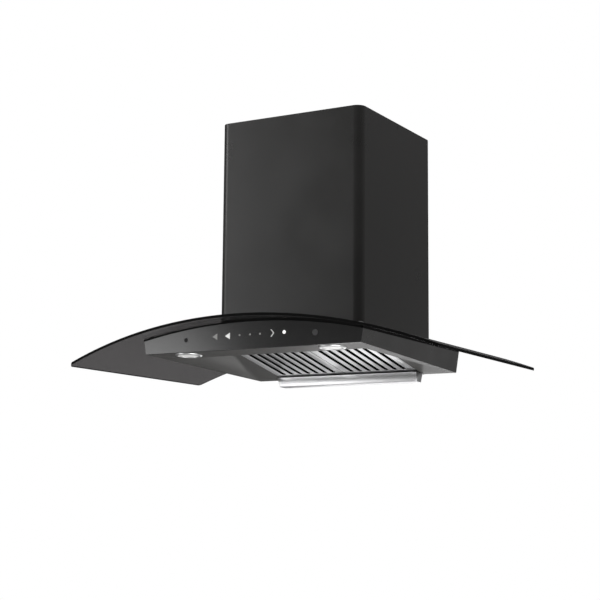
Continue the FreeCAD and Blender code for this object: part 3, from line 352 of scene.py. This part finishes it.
# material, dark and light tone, roughness, coarse and fine noise, strength of the grain
plain = {
    "sensor_lens": ("sensorLens", (0.030, 0.030, 0.032), (0.040, 0.040, 0.042), (0.14, 0.22), 60, 400, 0.02),
    "seal_rubber": ("sealRubber", grey(0.012), grey(0.020), (0.62, 0.80), 30, 900, 0.2),
    "black_plastic": ("blackPlastic", (0.014, 0.014, 0.015), (0.022, 0.022, 0.023), (0.42, 0.58), 25, 700, 0.25),
    "black_screws": ("blackScrews", grey(0.012), grey(0.02), (0.30, 0.42), 90, 900, 0.1),
    "white_plastic": ("whitePlastic", (0.70, 0.70, 0.68), (0.80, 0.80, 0.78), (0.35, 0.5), 30, 600, 0.1),
    "circuit_board": ("circuitBoard", (0.010, 0.07, 0.035), (0.025, 0.12, 0.06), (0.3, 0.5), 140, 500, 0.2),
    "cast_aluminium": ("castAluminium", (0.46, 0.46, 0.47), (0.58, 0.58, 0.59), (0.38, 0.55), 60, 500, 0.3, 1.0),
}
finishes = {
    "black_steel": makeBlackCoat(),
    "touch_glass": makeTouchPanel(),
    "smoked_glass": makeSmokedGlass(),
    "galvanised_steel": makeGalvanised(),
    "lamp_lens": makeLens(),
}
finishes.update({slot: makeBrushed(*look) for slot, look in brushed.items()})
finishes.update({slot: makePlain(*look) for slot, look in plain.items()})

edgeFinish = makePlain("glassEdge", grey(0.0015), grey(0.003), (0.5, 0.65), 40, 500, 0.1, specular=0.06)
# near-black painted shade, for the baffle steel seen through the slots and in the seam between the filters
paintedShadeSteel = makePlain("paintedShadeBaffle", grey(0.0015), grey(0.003), (0.7, 0.8), 40, 500, 0.1, specular=0.05)
bezelSilver = makePlain("bezelSilver", grey(0.78), grey(0.86), (0.32, 0.38), 60, 300, 0.0, 1.0)
# a lighter copy of the black coat for the underside panel: painted light from below
paintedLightCoat = makePlain("paintedLightUnderCoat", (0.056, 0.055, 0.053), (0.066, 0.065, 0.063), (0.38, 0.46), 9, 900, 0.05,
                     specular=0.1)
finishFor = {    # nodes that differ from the finish of their slot
    # the underside panel gets painted light, and the upper vanes painted shade
    "bottom_panel": paintedLightCoat,
    "filter_left_upper_vanes": paintedShadeSteel,
    "filter_right_upper_vanes": paintedShadeSteel,
    "sensor_window_left": makePlain("sensorDark", grey(0.002), grey(0.004), (0.6, 0.7), 60, 400, 0.02),
    "sensor_window_right": makePlain("sensorGrey", (0.034, 0.034, 0.035), (0.042, 0.042, 0.043), (0.4, 0.5),
                                     60, 400, 0.02),
}

for part in frame["record"]["subparts"]:
    mesh = nodes[part["node"]].data
    mesh.materials.clear()
    mesh.materials.append(finishFor.get(part["node"], finishes[part["material_slot"]]))
facesUp = 0.3    # upright part of the normal, at the least
for name in ("filter_left_upper_vanes", "filter_right_upper_vanes"):
    # the tops of these vanes keep the bright steel; the rest, seen through the slots, keeps the near-black painted
    # shade
    mesh = nodes[name].data
    mesh.materials.append(finishes["brushed_stainless"])
    for face in mesh.polygons:
        face.material_index = 1 if face.normal.z > facesUp else 0
bodyOf = {name: nodes[name]["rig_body"] for name in nodes}


def finishPiece(name, bm, material, body, smoothAngle=35):
    # turns a bmesh into a finished object that rides on its body; edges flatter than the angle are shaded smooth
    mesh = bpy.data.meshes.new(name)
    for edge in bm.edges:
        if len(edge.link_faces) == 2:
            edge.smooth = edge.calc_face_angle(0) < math.radians(smoothAngle)
    for face in bm.faces:
        face.smooth = True
    bm.to_mesh(mesh)
    bm.free()
    mesh.materials.append(material)
    piece = bpy.data.objects.new(name, mesh)
    bpy.context.scene.collection.objects.link(piece)
    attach(piece, body)
    return piece


def mergedCopy(node):
    # the CAD node's triangles, merged and with the flat faces joined up
    bm = bmesh.new()
    bm.from_mesh(nodes[node].data)
    bmesh.ops.remove_doubles(bm, verts=bm.verts, dist=weld)
    bmesh.ops.dissolve_limit(bm, angle_limit=flatAngle, verts=bm.verts, edges=bm.edges)
    return bm


def softened(node, name, width, segments=2, sharpAngle=40):
    # the same shape with its sharp edges rounded, in place of the CAD node
    bm = mergedCopy(node)
    sharp = [e for e in bm.edges if len(e.link_faces) == 2 and e.calc_face_angle(0) > math.radians(sharpAngle)]
    bmesh.ops.bevel(bm, geom=sharp, offset=width, offset_type="OFFSET", affect="EDGES", segments=segments,
                    profile=0.5, material=-1, clamp_overlap=True)
    piece = finishPiece(name, bm, nodes[node].data.materials[0], bodyOf[node])
    weighted = piece.modifiers.new("evenNormals", "WEIGHTED_NORMAL")
    weighted.keep_sharp = True
    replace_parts(piece, node)
    return piece


symbols = {
    "frontY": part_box("control_fascia")[0].y,    # face of the fascia
    "thickness": 0.3 * mm,
    "low": (-84.9, -337.5, 12.0, 14.0),    # x, z, width and height, in mm
    "previous": (-53.4, -337.5, 12.0, 14.0),
    "dots": ((-22.9, -337.0), (2.9, -337.0), (27.3, -337.0)),
    "dotRadius": 2.0,
    "dotSteps": 32,
    "next": (57.5, -337.0, 9.0, 15.0, 2.6),    # and the stroke
    "power": (86.0, -336.5, 3.9),    # x, z and radius
}
litMark = makeMark("litMark", (0.92, 0.92, 0.90), 0.5)
softMark = makeMark("softMark", (0.60, 0.60, 0.59), 0.16)
midMark = makeMark("midMark", (0.72, 0.72, 0.71), 0.34)
dimMark = makeMark("dimMark", (0.30, 0.30, 0.29), 0.06)


def flatShape(corners):
    # a thin plate from its outline on the fascia, as (x, z) in mm
    bm = bmesh.new()
    frontY = symbols["frontY"] - symbols["thickness"]
    loop = [bm.verts.new((x * mm, frontY, z * mm)) for x, z in corners]
    face = bm.faces.new(loop)
    grown = bmesh.ops.extrude_face_region(bm, geom=[face])
    moved = [v for v in grown["geom"] if isinstance(v, bmesh.types.BMVert)]
    bmesh.ops.translate(bm, verts=moved, vec=(0, symbols["thickness"], 0))
    bmesh.ops.recalc_face_normals(bm, faces=bm.faces)
    return bm


def roundShape(x, z, radius):
    # a thin disc on the fascia
    bm = bmesh.new()
    bmesh.ops.create_cone(bm, cap_ends=True, segments=symbols["dotSteps"], radius1=radius * mm,
                          radius2=radius * mm, depth=symbols["thickness"])
    bmesh.ops.rotate(bm, verts=bm.verts, cent=(0, 0, 0), matrix=Matrix.Rotation(math.pi / 2, 3, "X"))
    bmesh.ops.translate(bm, verts=bm.verts, vec=(x * mm, symbols["frontY"] - symbols["thickness"] / 2, z * mm))
    return bm


def makeSymbols():
    for name, material in (("low", dimMark), ("previous", midMark)):
        x, z, width, height = symbols[name]
        left, right, half = x - width / 2, x + width / 2, height / 2
        corners = [(left, z), (right, z - half), (right, z + half)]
        finishPiece(name + "Mark", flatShape(corners), material, "hood")
    for index, (x, z) in enumerate(symbols["dots"]):
        dot = roundShape(x, z, symbols["dotRadius"])
        finishPiece("levelDot%d" % (index + 1), dot, dimMark, "hood")
    x, z, width, height, stroke = symbols["next"]
    left, right, half = x - width / 2, x + width / 2, height / 2
    corners = [
        (left, z + half), (left + stroke, z + half), (right, z),
        (left + stroke, z - half), (left, z - half), (right - stroke, z),
    ]
    finishPiece("nextMark", flatShape(corners), softMark, "hood")
    x, z, radius = symbols["power"]
    finishPiece("powerMark", roundShape(x, z, radius), litMark, "hood")


makeSymbols()
print("symbols made")

# node: piece in its place, width of the rounding and its segments
rounding = {
    "chimney_cover": ("chimneyCover", 0.45 * mm, 2),
    "canopy_shell": ("canopyShell", 0.4 * mm, 2),
    "control_fascia": ("controlFascia", 1.1 * mm, 3),
    "bottom_panel": ("bottomPanel", 0.3 * mm, 2),
    "glass_canopy": ("glassCanopy", 1.2 * mm, 3),
    "filter_left_knob": ("filterLeftKnob", 0.8 * mm, 3),
    "filter_right_knob": ("filterRightKnob", 0.8 * mm, 3),
    "top_plate": ("topPlate", 0.3 * mm, 2),
    "back_plate": ("backPlate", 0.3 * mm, 2),
    "duct_collar": ("ductCollar", 0.4 * mm, 2),
}
softPieces = {}
for node, (name, width, segments) in rounding.items():
    softPieces[node] = softened(node, name, width, segments)


def blackenGlassEdge():
    # the ground edge of the glass has its own finish
    mesh = softPieces["glass_canopy"].data
    mesh.materials.append(edgeFinish)
    broadSide = 0.8    # upright part of the normal on the broad sides, at the least
    for face in mesh.polygons:
        if abs(face.normal.z) < broadSide:
            face.material_index = 1


blackenGlassEdge()
softPieces["glass_canopy"].visible_glossy = False    # or its overhang blots the light out of the touch panel
print("edges rounded on", len(rounding), "pieces")


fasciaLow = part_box("control_fascia")[0]
panel = {"frontY": fasciaLow.y, "frontZ": fasciaLow.z + 0.2 * mm, "fall": 2.2}    # fall in degrees


def onPanel(x, y):
    # seats a shape drawn about the origin on the sloping underside
    z = panel["frontZ"] - (y - panel["frontY"]) * math.tan(math.radians(panel["fall"]))
    return Matrix.Translation((x, y, z)) @ Matrix.Rotation(-math.radians(panel["fall"]), 4, "X")


def turned(profile, segments):
    # a closed profile of (radius, height) in mm, spun about the upright axis
    bm = bmesh.new()
    verts = [bm.verts.new((r * mm, 0, z * mm)) for r, z in profile]
    edges = [bm.edges.new(pair) for pair in zip(verts, verts[1:] + verts[:1])]
    bmesh.ops.spin(bm, geom=verts + edges, axis=(0, 0, 1), cent=(0, 0, 0), angle=2 * math.pi, steps=segments,
                   use_merge=True)
    bmesh.ops.remove_doubles(bm, verts=bm.verts, dist=weld / 2)
    loose = [e for e in bm.edges if not e.link_faces]
    bmesh.ops.delete(bm, geom=loose, context="EDGES")
    bmesh.ops.recalc_face_normals(bm, faces=bm.faces)
    return bm


# contours are (radius, height) in mm, below the panel where the height is negative
lamp = {
    "x": 178 * mm, "y": -487 * mm, "segments": 72, "smooth": 50,
    "ring": ((30, 0), (29.6, -1.1), (28.4, -2.1), (26.4, -2.8), (24.4, -2.9), (23.0, -2.6), (22.3, -2.0),
             (22.1, -1.4), (22.1, 5.5), (25.0, 5.5), (25.0, 0)),
    "lens": ((0, -2.4), (5, -2.35), (10, -2.2), (15, -2.0), (19, -1.7), (21.3, -1.4), (21.9, -1.1), (21.9, -0.6),
             (0, -0.6)),
}


def makeHoodLamps():
    for word, side in (("Left", -1), ("Right", 1)):
        for kind, slotName in (("ring", "chrome_trim"), ("lens", "lamp_lens")):
            bm = turned(lamp[kind], lamp["segments"])
            bmesh.ops.transform(bm, verts=bm.verts, matrix=onPanel(side * lamp["x"], lamp["y"]))
            finish = bezelSilver if kind == "ring" else finishes[slotName]
            piece = finishPiece("lamp" + word + kind.capitalize(), bm, finish, "hood",
                                lamp["smooth"])
            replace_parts(piece, "lamp_bezels" if kind == "ring" else "lamp_lenses")


makeHoodLamps()
print("lamps made")

arch = {"radius": 1275.6 * mm, "centre": Vector((0, 0, -1575.6 * mm)), "glass": 6 * mm}    # upper face of the glass
caps = {"radius": 7.0 * mm, "height": 4.2 * mm, "skirt": 0.25, "segments": 32, "rings": 16, "smooth": 60}


def looseBoxes(node):
    # the lowest and highest corner of each separate solid of a node
    bm = bmesh.new()
    bm.from_mesh(nodes[node].data)
    bmesh.ops.remove_doubles(bm, verts=bm.verts, dist=weld)
    left = set(bm.verts)
    boxes = []
    while left:
        stack = [left.pop()]
        found = [stack[0].co.copy()]
        while stack:
            for edge in stack.pop().link_edges:
                for vert in edge.verts:
                    if vert in left:
                        left.remove(vert)
                        stack.append(vert)
                        found.append(vert.co.copy())
        low = Vector([min(c[i] for c in found) for i in range(3)])
        high = Vector([max(c[i] for c in found) for i in range(3)])
        boxes.append((low, high))
    bm.free()
    return sorted(boxes, key=lambda pair: (round(pair[0].x, 4), round(pair[0].y, 4)))


def makeCaps():
    # a low dome on a short skirt over each glass screw, leaning with the arch
    for index, (low, high) in enumerate(looseBoxes("glass_screw_caps")):
        bm = bmesh.new()
        bmesh.ops.create_uvsphere(bm, u_segments=caps["segments"], v_segments=caps["rings"], radius=caps["radius"])
        bmesh.ops.bisect_plane(bm, geom=bm.verts[:] + bm.edges[:] + bm.faces[:], plane_co=(0, 0, 0),
                               plane_no=(0, 0, -1), clear_outer=True, dist=hair)
        rim = [e for e in bm.edges if e.is_boundary]
        skirt = bmesh.ops.extrude_edge_only(bm, edges=rim)
        lower = [v for v in skirt["geom"] if isinstance(v, bmesh.types.BMVert)]
        bmesh.ops.translate(bm, verts=lower, vec=(0, 0, -caps["radius"] * caps["skirt"]))
        bmesh.ops.contextual_create(bm, geom=[e for e in bm.edges if e.is_boundary])
        flatten = caps["height"] / (caps["radius"] * (1 + caps["skirt"]))
        bmesh.ops.scale(bm, verts=bm.verts, vec=(1, 1, flatten))
        bmesh.ops.recalc_face_normals(bm, faces=bm.faces)
        middle = (low + high) / 2
        lean = math.asin(middle.x / arch["radius"])
        foot = min(v.co.z for v in bm.verts)
        seat = Vector((math.sin(lean), 0, math.cos(lean))) * (arch["radius"] - foot) + arch["centre"]
        seat.y = middle.y
        bmesh.ops.transform(bm, verts=bm.verts, matrix=Matrix.Translation(seat) @ Matrix.Rotation(lean, 4, "Y"))
        piece = finishPiece("screwCap%d" % (index + 1), bm, finishes["black_screws"], "hood",
                            caps["smooth"])
        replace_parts(piece, "glass_screw_caps")


makeCaps()
print("screw caps made")

# black bead between the body and the glass
seal = {"height": 3.4 * mm, "proud": 0.8 * mm, "depth": 2.5 * mm, "steps": 48, "halfWidth": 269.8 * mm,
        "frontY": -526 * mm, "rearY": -42 * mm}


def section(bm, corners):
    # a face on one radius of the arch, from (angle, radius, y) corners
    spots = [Vector((math.sin(angle) * radius, y, math.cos(angle) * radius)) for angle, radius, y in corners]
    return bm.faces.new([bm.verts.new(arch["centre"] + spot) for spot in spots])


def makeSeal():
    high = arch["radius"] - arch["glass"]
    low = high - seal["height"]
    reach = math.asin(seal["halfWidth"] / high)
    front, inside = seal["frontY"] - seal["proud"], seal["frontY"] + seal["depth"]
    bm = bmesh.new()
    corners = [(-reach, low, front), (-reach, high, front), (-reach, high, inside), (-reach, low, inside)]
    face = section(bm, corners)
    bmesh.ops.spin(bm, geom=[face] + face.edges[:] + face.verts[:], axis=(0, 1, 0), cent=arch["centre"],
                   angle=2 * reach, steps=seal["steps"])
    proud, depth = seal["proud"] / high, seal["depth"] / high
    for side in (-1, 1):
        outer, inner = side * (reach + proud), side * (reach - depth)
        face = section(bm, [(outer, low, front), (outer, high, front), (inner, high, front), (inner, low, front)])
        grown = bmesh.ops.extrude_face_region(bm, geom=[face])
        moved = [v for v in grown["geom"] if isinstance(v, bmesh.types.BMVert)]
        bmesh.ops.translate(bm, verts=moved, vec=(0, seal["rearY"] - front, 0))
    bmesh.ops.recalc_face_normals(bm, faces=bm.faces)
    finishPiece("glassSeal", bm, edgeFinish, "hood")


makeSeal()
print("seal made")

# seen from the hinge, in mm and degrees
baffle = {
    "hinge": Vector((0, -96 * mm, -374.2 * mm)), "slope": 11.3,
    "middle": 92.1, "half": 91.6, "front": -210.0, "rear": 9.0, "underside": -5.0, "corner": 3.0,
    "cornerSteps": 24, "slots": 7, "slotSteps": 20, "pitch": 22.6, "slotHalf": 4.9, "slotRound": 0.98,
    "slotFront": -195.0, "slotRear": -4.0, "flangeMargin": (4, 2),
    "flange": 4.6, "skirt": 9.2, "rim": 6.0, "rearRim": 1.0, "rearTop": -1.0, "lowered": 8.0,
    "bend": 0.5, "sheet": 0.8,
}


def roundLoop(bm, centre, half, radius, segments):
    # a rectangle with round corners, from a circle whose quarters are moved apart
    made = bmesh.ops.create_circle(bm, segments=segments, radius=radius)["verts"]
    bmesh.ops.rotate(bm, verts=made, cent=(0, 0, 0), matrix=Matrix.Rotation(math.pi / segments, 3, "Z"))
    for vert in made:
        vert.co.x += math.copysign(half[0] - radius, vert.co.x) + centre[0]
        vert.co.y += math.copysign(half[1] - radius, vert.co.y) + centre[1]
    return made


def raiseEdges(bm, edges, height):
    # a wall on the given edges; gives back its far edges
    grown = bmesh.ops.extrude_edge_only(bm, edges=edges)["geom"]
    raised = [v for v in grown if isinstance(v, bmesh.types.BMVert)]
    bmesh.ops.translate(bm, verts=raised, vec=(0, 0, height * mm))
    return [e for e in grown if isinstance(e, bmesh.types.BMEdge)]


def makeBaffle(side, word):
    # pressed sheet with round-ended slots, their flanges, the skirt and its inward rim
    bm = bmesh.new()
    long = (baffle["rear"] - baffle["front"]) / 2
    centre = side * baffle["middle"]
    roundLoop(bm, (centre * mm, (baffle["front"] + long) * mm), (baffle["half"] * mm, long * mm),
              baffle["corner"] * mm, baffle["cornerSteps"])
    outline = bm.edges[:]
    slotLong = (baffle["slotRear"] - baffle["slotFront"]) / 2
    for index in range(baffle["slots"]):
        x = centre + (index - (baffle["slots"] - 1) / 2) * baffle["pitch"]
        roundLoop(bm, (x * mm, (baffle["slotFront"] + slotLong) * mm), (baffle["slotHalf"] * mm, slotLong * mm),
                  baffle["slotHalf"] * baffle["slotRound"] * mm, baffle["slotSteps"])
    slotEdges = [e for e in bm.edges if e not in set(outline)]
    bmesh.ops.translate(bm, verts=bm.verts, vec=(0, 0, baffle["underside"] * mm))
    bmesh.ops.triangle_fill(bm, edges=bm.edges[:], use_beauty=True)
    raiseEdges(bm, slotEdges, baffle["flange"])
    top = raiseEdges(bm, outline, baffle["skirt"])
    inward = bmesh.ops.extrude_edge_only(bm, edges=top)["geom"]
    rimVerts = [v for v in inward if isinstance(v, bmesh.types.BMVert)]
    middleX, middleY = centre * mm, (baffle["front"] + long) * mm
    for vert in rimVerts:
        vert.co.x -= math.copysign(baffle["rim"] * mm, vert.co.x - middleX)
        vert.co.y += baffle["rim"] * mm if vert.co.y < middleY else -baffle["rearRim"] * mm
    # the rear end is lower, so that it clears the hinge lugs when the filter hangs open
    step = (baffle["rear"] - baffle["lowered"]) * mm
    bmesh.ops.bisect_plane(bm, geom=bm.verts[:] + bm.edges[:] + bm.faces[:], dist=hair, plane_co=(0, step, 0),
                           plane_no=(0, 1, 0))
    for vert in bm.verts:
        if vert.co.y > step + 10 * hair:
            vert.co.z = min(vert.co.z, baffle["rearTop"] * mm)
    bends = outline + slotEdges + top
    bmesh.ops.bevel(bm, geom=[e for e in bends if e.is_valid], offset=baffle["bend"] * mm, offset_type="OFFSET",
                    affect="EDGES", segments=2, profile=0.5, material=-1, clamp_overlap=True)
    bmesh.ops.recalc_face_normals(bm, faces=bm.faces)
    low = min(bm.faces, key=lambda f: f.calc_center_median().z)
    if low.normal.z > 0:
        bmesh.ops.reverse_faces(bm, faces=bm.faces)
    # the slots' flanges and the seam between the filters get the near-black painted shade
    sideGap, endGap = baffle["flangeMargin"]
    aboveSheet = baffle["underside"] + 0.2 * baffle["bend"]
    for face in bm.faces:
        spot = face.calc_center_median() / mm
        inside = (abs(spot.x - centre) < baffle["half"] - sideGap
                  and baffle["slotFront"] - endGap < spot.y < baffle["slotRear"] + endGap)
        seam = abs(spot.x) < 1 and abs(face.normal.z) < 0.5
        face.material_index = 1 if seam or inside and spot.z > aboveSheet else 0
    placed = Matrix.Translation(baffle["hinge"]) @ Matrix.Rotation(-math.radians(baffle["slope"]), 4, "X")
    bmesh.ops.transform(bm, verts=bm.verts, matrix=placed)
    piece = finishPiece("filter" + word.capitalize() + "Baffle", bm, finishes["brushed_stainless"],
                        "filter_" + word)
    # the second finish is the near-black painted shade
    piece.data.materials.append(paintedShadeSteel)
    sheet = piece.modifiers.new("sheet", "SOLIDIFY")
    sheet.thickness = baffle["sheet"] * mm
    sheet.offset = -1
    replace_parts(piece, "filter_" + word + "_frame", "filter_" + word + "_lower_vanes")


for side, word in ((-1, "left"), (1, "right")):
    makeBaffle(side, word)
print("filters made")

# seen from its top rear edge on the panel, in mm
trough = {
    "top": -0.6, "height": 21.5, "depth": 32.0, "lean": 8.0, "half": 186.0, "taper": 4.0, "rear": -1.0,
    "round": 1.6, "steps": 4, "sheet": 1.0, "place": (0, -60.4 * mm), "railHalf": 172.0,
}


def makeTrough():
    # folded front, floor and ends, open on top and towards the rear strip
    bm = bmesh.new()
    bmesh.ops.create_cube(bm, size=2)
    for vert in bm.verts:
        low = vert.co.z < 0
        front = vert.co.y < 0
        end = trough["half"] - (trough["taper"] if low else 0)
        y = (-trough["depth"] + (trough["lean"] if low else 0)) if front else trough["rear"]
        vert.co = Vector((math.copysign(end, vert.co.x), y, trough["top"] - (trough["height"] if low else 0))) * mm
    gone = [f for f in bm.faces if f.normal.z > 0.9 or f.normal.y > 0.9]    # top and rear
    bmesh.ops.delete(bm, geom=gone, context="FACES")
    folds = [e for e in bm.edges if len(e.link_faces) == 2]
    bmesh.ops.bevel(bm, geom=folds, offset=trough["round"] * mm, offset_type="OFFSET", affect="EDGES",
                    segments=trough["steps"], profile=0.5, material=-1, clamp_overlap=True)
    bmesh.ops.transform(bm, verts=bm.verts, matrix=onPanel(*trough["place"]))
    piece = finishPiece("oilTray", bm, finishes["polished_steel"], "tray")
    sheet = piece.modifiers.new("sheet", "SOLIDIFY")
    sheet.thickness = trough["sheet"] * mm
    sheet.offset = -1
    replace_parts(piece, "oil_tray")


makeTrough()


def makeRail():
    # the tray's rail, cut back from the tray's ends
    bm = mergedCopy("tray_rail")
    for side in (-1, 1):
        cut = (side * trough["railHalf"] * mm, 0, 0)
        bmesh.ops.bisect_plane(bm, geom=bm.verts[:] + bm.edges[:] + bm.faces[:], dist=hair, plane_co=cut,
                               plane_no=(side, 0, 0), clear_outer=True)
        bmesh.ops.contextual_create(bm, geom=[e for e in bm.edges if e.is_boundary])
    bmesh.ops.recalc_face_normals(bm, faces=bm.faces)
    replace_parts(finishPiece("trayRail", bm, finishes["black_steel"], "hood"), "tray_rail")


makeRail()
print("oil tray made")

studio = {
    "floorZ": -1.30,
    "floorLow": (-1.06, -1.12),    # corners of the floor
    "floorHigh": (2.6, 2.3),
    "floorTone": 0.86,
    "floorMirrored": 0.3,    # how bright the floor is to mirror surfaces
    "floorWhite": 0.93,    # share of plain white in what the camera sees of the floor
    "ambient": 0.65,    # what lights the object from all round
    "walls": (0.045, 0.18),    # what mirror surfaces meet level with the object, on dark and light walls
    "wallSpan": 0.4,    # how soon the walls go from dark to light
    "ceiling": 1.0,    # and what they meet above it
    "ceilingFrom": 0.30,    # heights of view between which the walls become ceiling
    "ceilingTo": 0.85,
}


def rayMask(tree, *kinds):
    # 1 for the named kinds of ray
    path = tree.nodes.new("ShaderNodeLightPath")
    mask = path.outputs[kinds[0]]
    for kind in kinds[1:]:
        either = addNode(tree, "ShaderNodeMath", i0=mask, i1=path.outputs[kind])
        either.operation = "MAXIMUM"
        mask = either.outputs[0]
    return mask


def blend(tree, factor, first, second):
    # a value between two values or sockets
    node = tree.nodes.new("ShaderNodeMix")
    tree.links.new(factor, node.inputs["Factor"])
    for name, value in (("A", first), ("B", second)):
        if isinstance(value, bpy.types.NodeSocket):
            tree.links.new(value, node.inputs[name])
        else:
            node.inputs[name].default_value = value
    return node.outputs["Result"]


def makeFloor():
    bm = bmesh.new()
    bmesh.ops.create_grid(bm, x_segments=1, y_segments=1, size=0.5)
    low, high = Vector(studio["floorLow"]), Vector(studio["floorHigh"])
    bmesh.ops.scale(bm, verts=bm.verts, vec=(*(high - low), 1))
    bmesh.ops.translate(bm, verts=bm.verts, vec=(*((low + high) / 2), studio["floorZ"]))
    mesh = bpy.data.meshes.new("floor")
    bm.to_mesh(mesh)
    bm.free()
    material = bpy.data.materials.new("paleFloor")
    material.use_nodes = True
    tree = material.node_tree
    tree.nodes.remove(tree.nodes["Principled BSDF"])
    tone = studio["floorTone"]
    diffuse = addNode(tree, "ShaderNodeBsdfDiffuse", Color=(*grey(tone), 1))
    white = addNode(tree, "ShaderNodeEmission", Color=(1, 1, 1, 1))
    seen = rayMask(tree, "Is Camera Ray", "Is Glossy Ray", "Is Transmission Ray")
    glow = blend(tree, rayMask(tree, "Is Glossy Ray"), 1.0, studio["floorMirrored"])
    tree.links.new(glow, white.inputs["Strength"])
    share = ramp(tree, seen, 0.0, studio["floorWhite"])
    mix = addNode(tree, "ShaderNodeMixShader", i0=share, i1=diffuse.outputs[0], i2=white.outputs[0])
    tree.links.new(mix.outputs[0], tree.nodes["Material Output"].inputs["Surface"])
    mesh.materials.append(material)
    floor = bpy.data.objects.new("floor", mesh)
    bpy.context.scene.collection.objects.link(floor)


def makeWorld():
    # white behind for the camera and through the glass; mirror surfaces meet grey walls and a white ceiling
    world = bpy.data.worlds.new("studio")
    bpy.context.scene.world = world
    world.use_nodes = True
    tree = world.node_tree
    way = tree.nodes.new("ShaderNodeSeparateXYZ")
    tree.links.new(tree.nodes.new("ShaderNodeTexCoord").outputs["Generated"], way.inputs[0])
    quarter = addNode(tree, "ShaderNodeMath", i0=way.outputs["X"], i1=way.outputs["Y"])
    quarter.operation = "MULTIPLY"
    walls = ramp(tree, quarter.outputs[0], *studio["walls"], -studio["wallSpan"], studio["wallSpan"])
    rise = ramp(tree, way.outputs["Z"], 0.0, 1.0, studio["ceilingFrom"], studio["ceilingTo"])
    around = blend(tree, rise, walls, studio["ceiling"])
    unseen = blend(tree, rayMask(tree, "Is Glossy Ray"), studio["ambient"], around)
    tone = blend(tree, rayMask(tree, "Is Camera Ray", "Is Transmission Ray"), unseen, 1.0)
    tree.links.new(tone, tree.nodes["Background"].inputs["Color"])


lightBoxes = {
    "leftBox": {"place": (-2.50, -2.50, 0.90), "aim": (0, -0.4, 0.0), "size": (1.3, 0.9), "power": 12.4},
    "fasciaBox": {"place": (-2.32, -2.69, -0.14), "aim": (0, -0.5, -0.3), "size": (1.38, 0.5), "power": 8.9},
    "lowLeftBox": {"place": (-1.12, -1.50, -1.15), "aim": (0, -0.1, -0.4), "size": (1.0, 0.7), "power": 6.0},
    "filterBox": {"place": (-0.49, 1.45, -1.20), "aim": (0.0, -0.2, -0.36), "size": (0.9, 0.9), "power": 6.2},
    "backBox": {"place": (1.50, 2.22, -0.35), "aim": (0.27, -0.4, -0.35), "size": (1.6, 0.4), "power": 0.6},
    "lowBox": {"place": (0.6, -0.6, -1.25), "aim": (0, -0.3, -0.35), "size": (1.0, 0.8), "power": 12.0},
    "topBox": {"place": (0.0, -0.6, 2.6), "aim": (0, -0.3, 0.0), "size": (2.0, 1.6), "power": 24.0},
}


def makeLightBoxes():
    for name, box in lightBoxes.items():
        data = bpy.data.lights.new(name, "AREA")
        data.shape = "RECTANGLE"
        data.size, data.size_y = box["size"]
        data.energy = box["power"]
        light = bpy.data.objects.new(name, data)
        bpy.context.scene.collection.objects.link(light)
        light.location = box["place"]
        aim = Vector(box["aim"]) - Vector(box["place"])
        light.rotation_euler = aim.to_track_quat("-Z", "Y").to_euler()
        light.visible_camera = False
        light.visible_transmission = False


makeFloor()
makeWorld()
makeLightBoxes()
bpy.context.scene.view_settings.view_transform = "Standard"
print("studio lit")
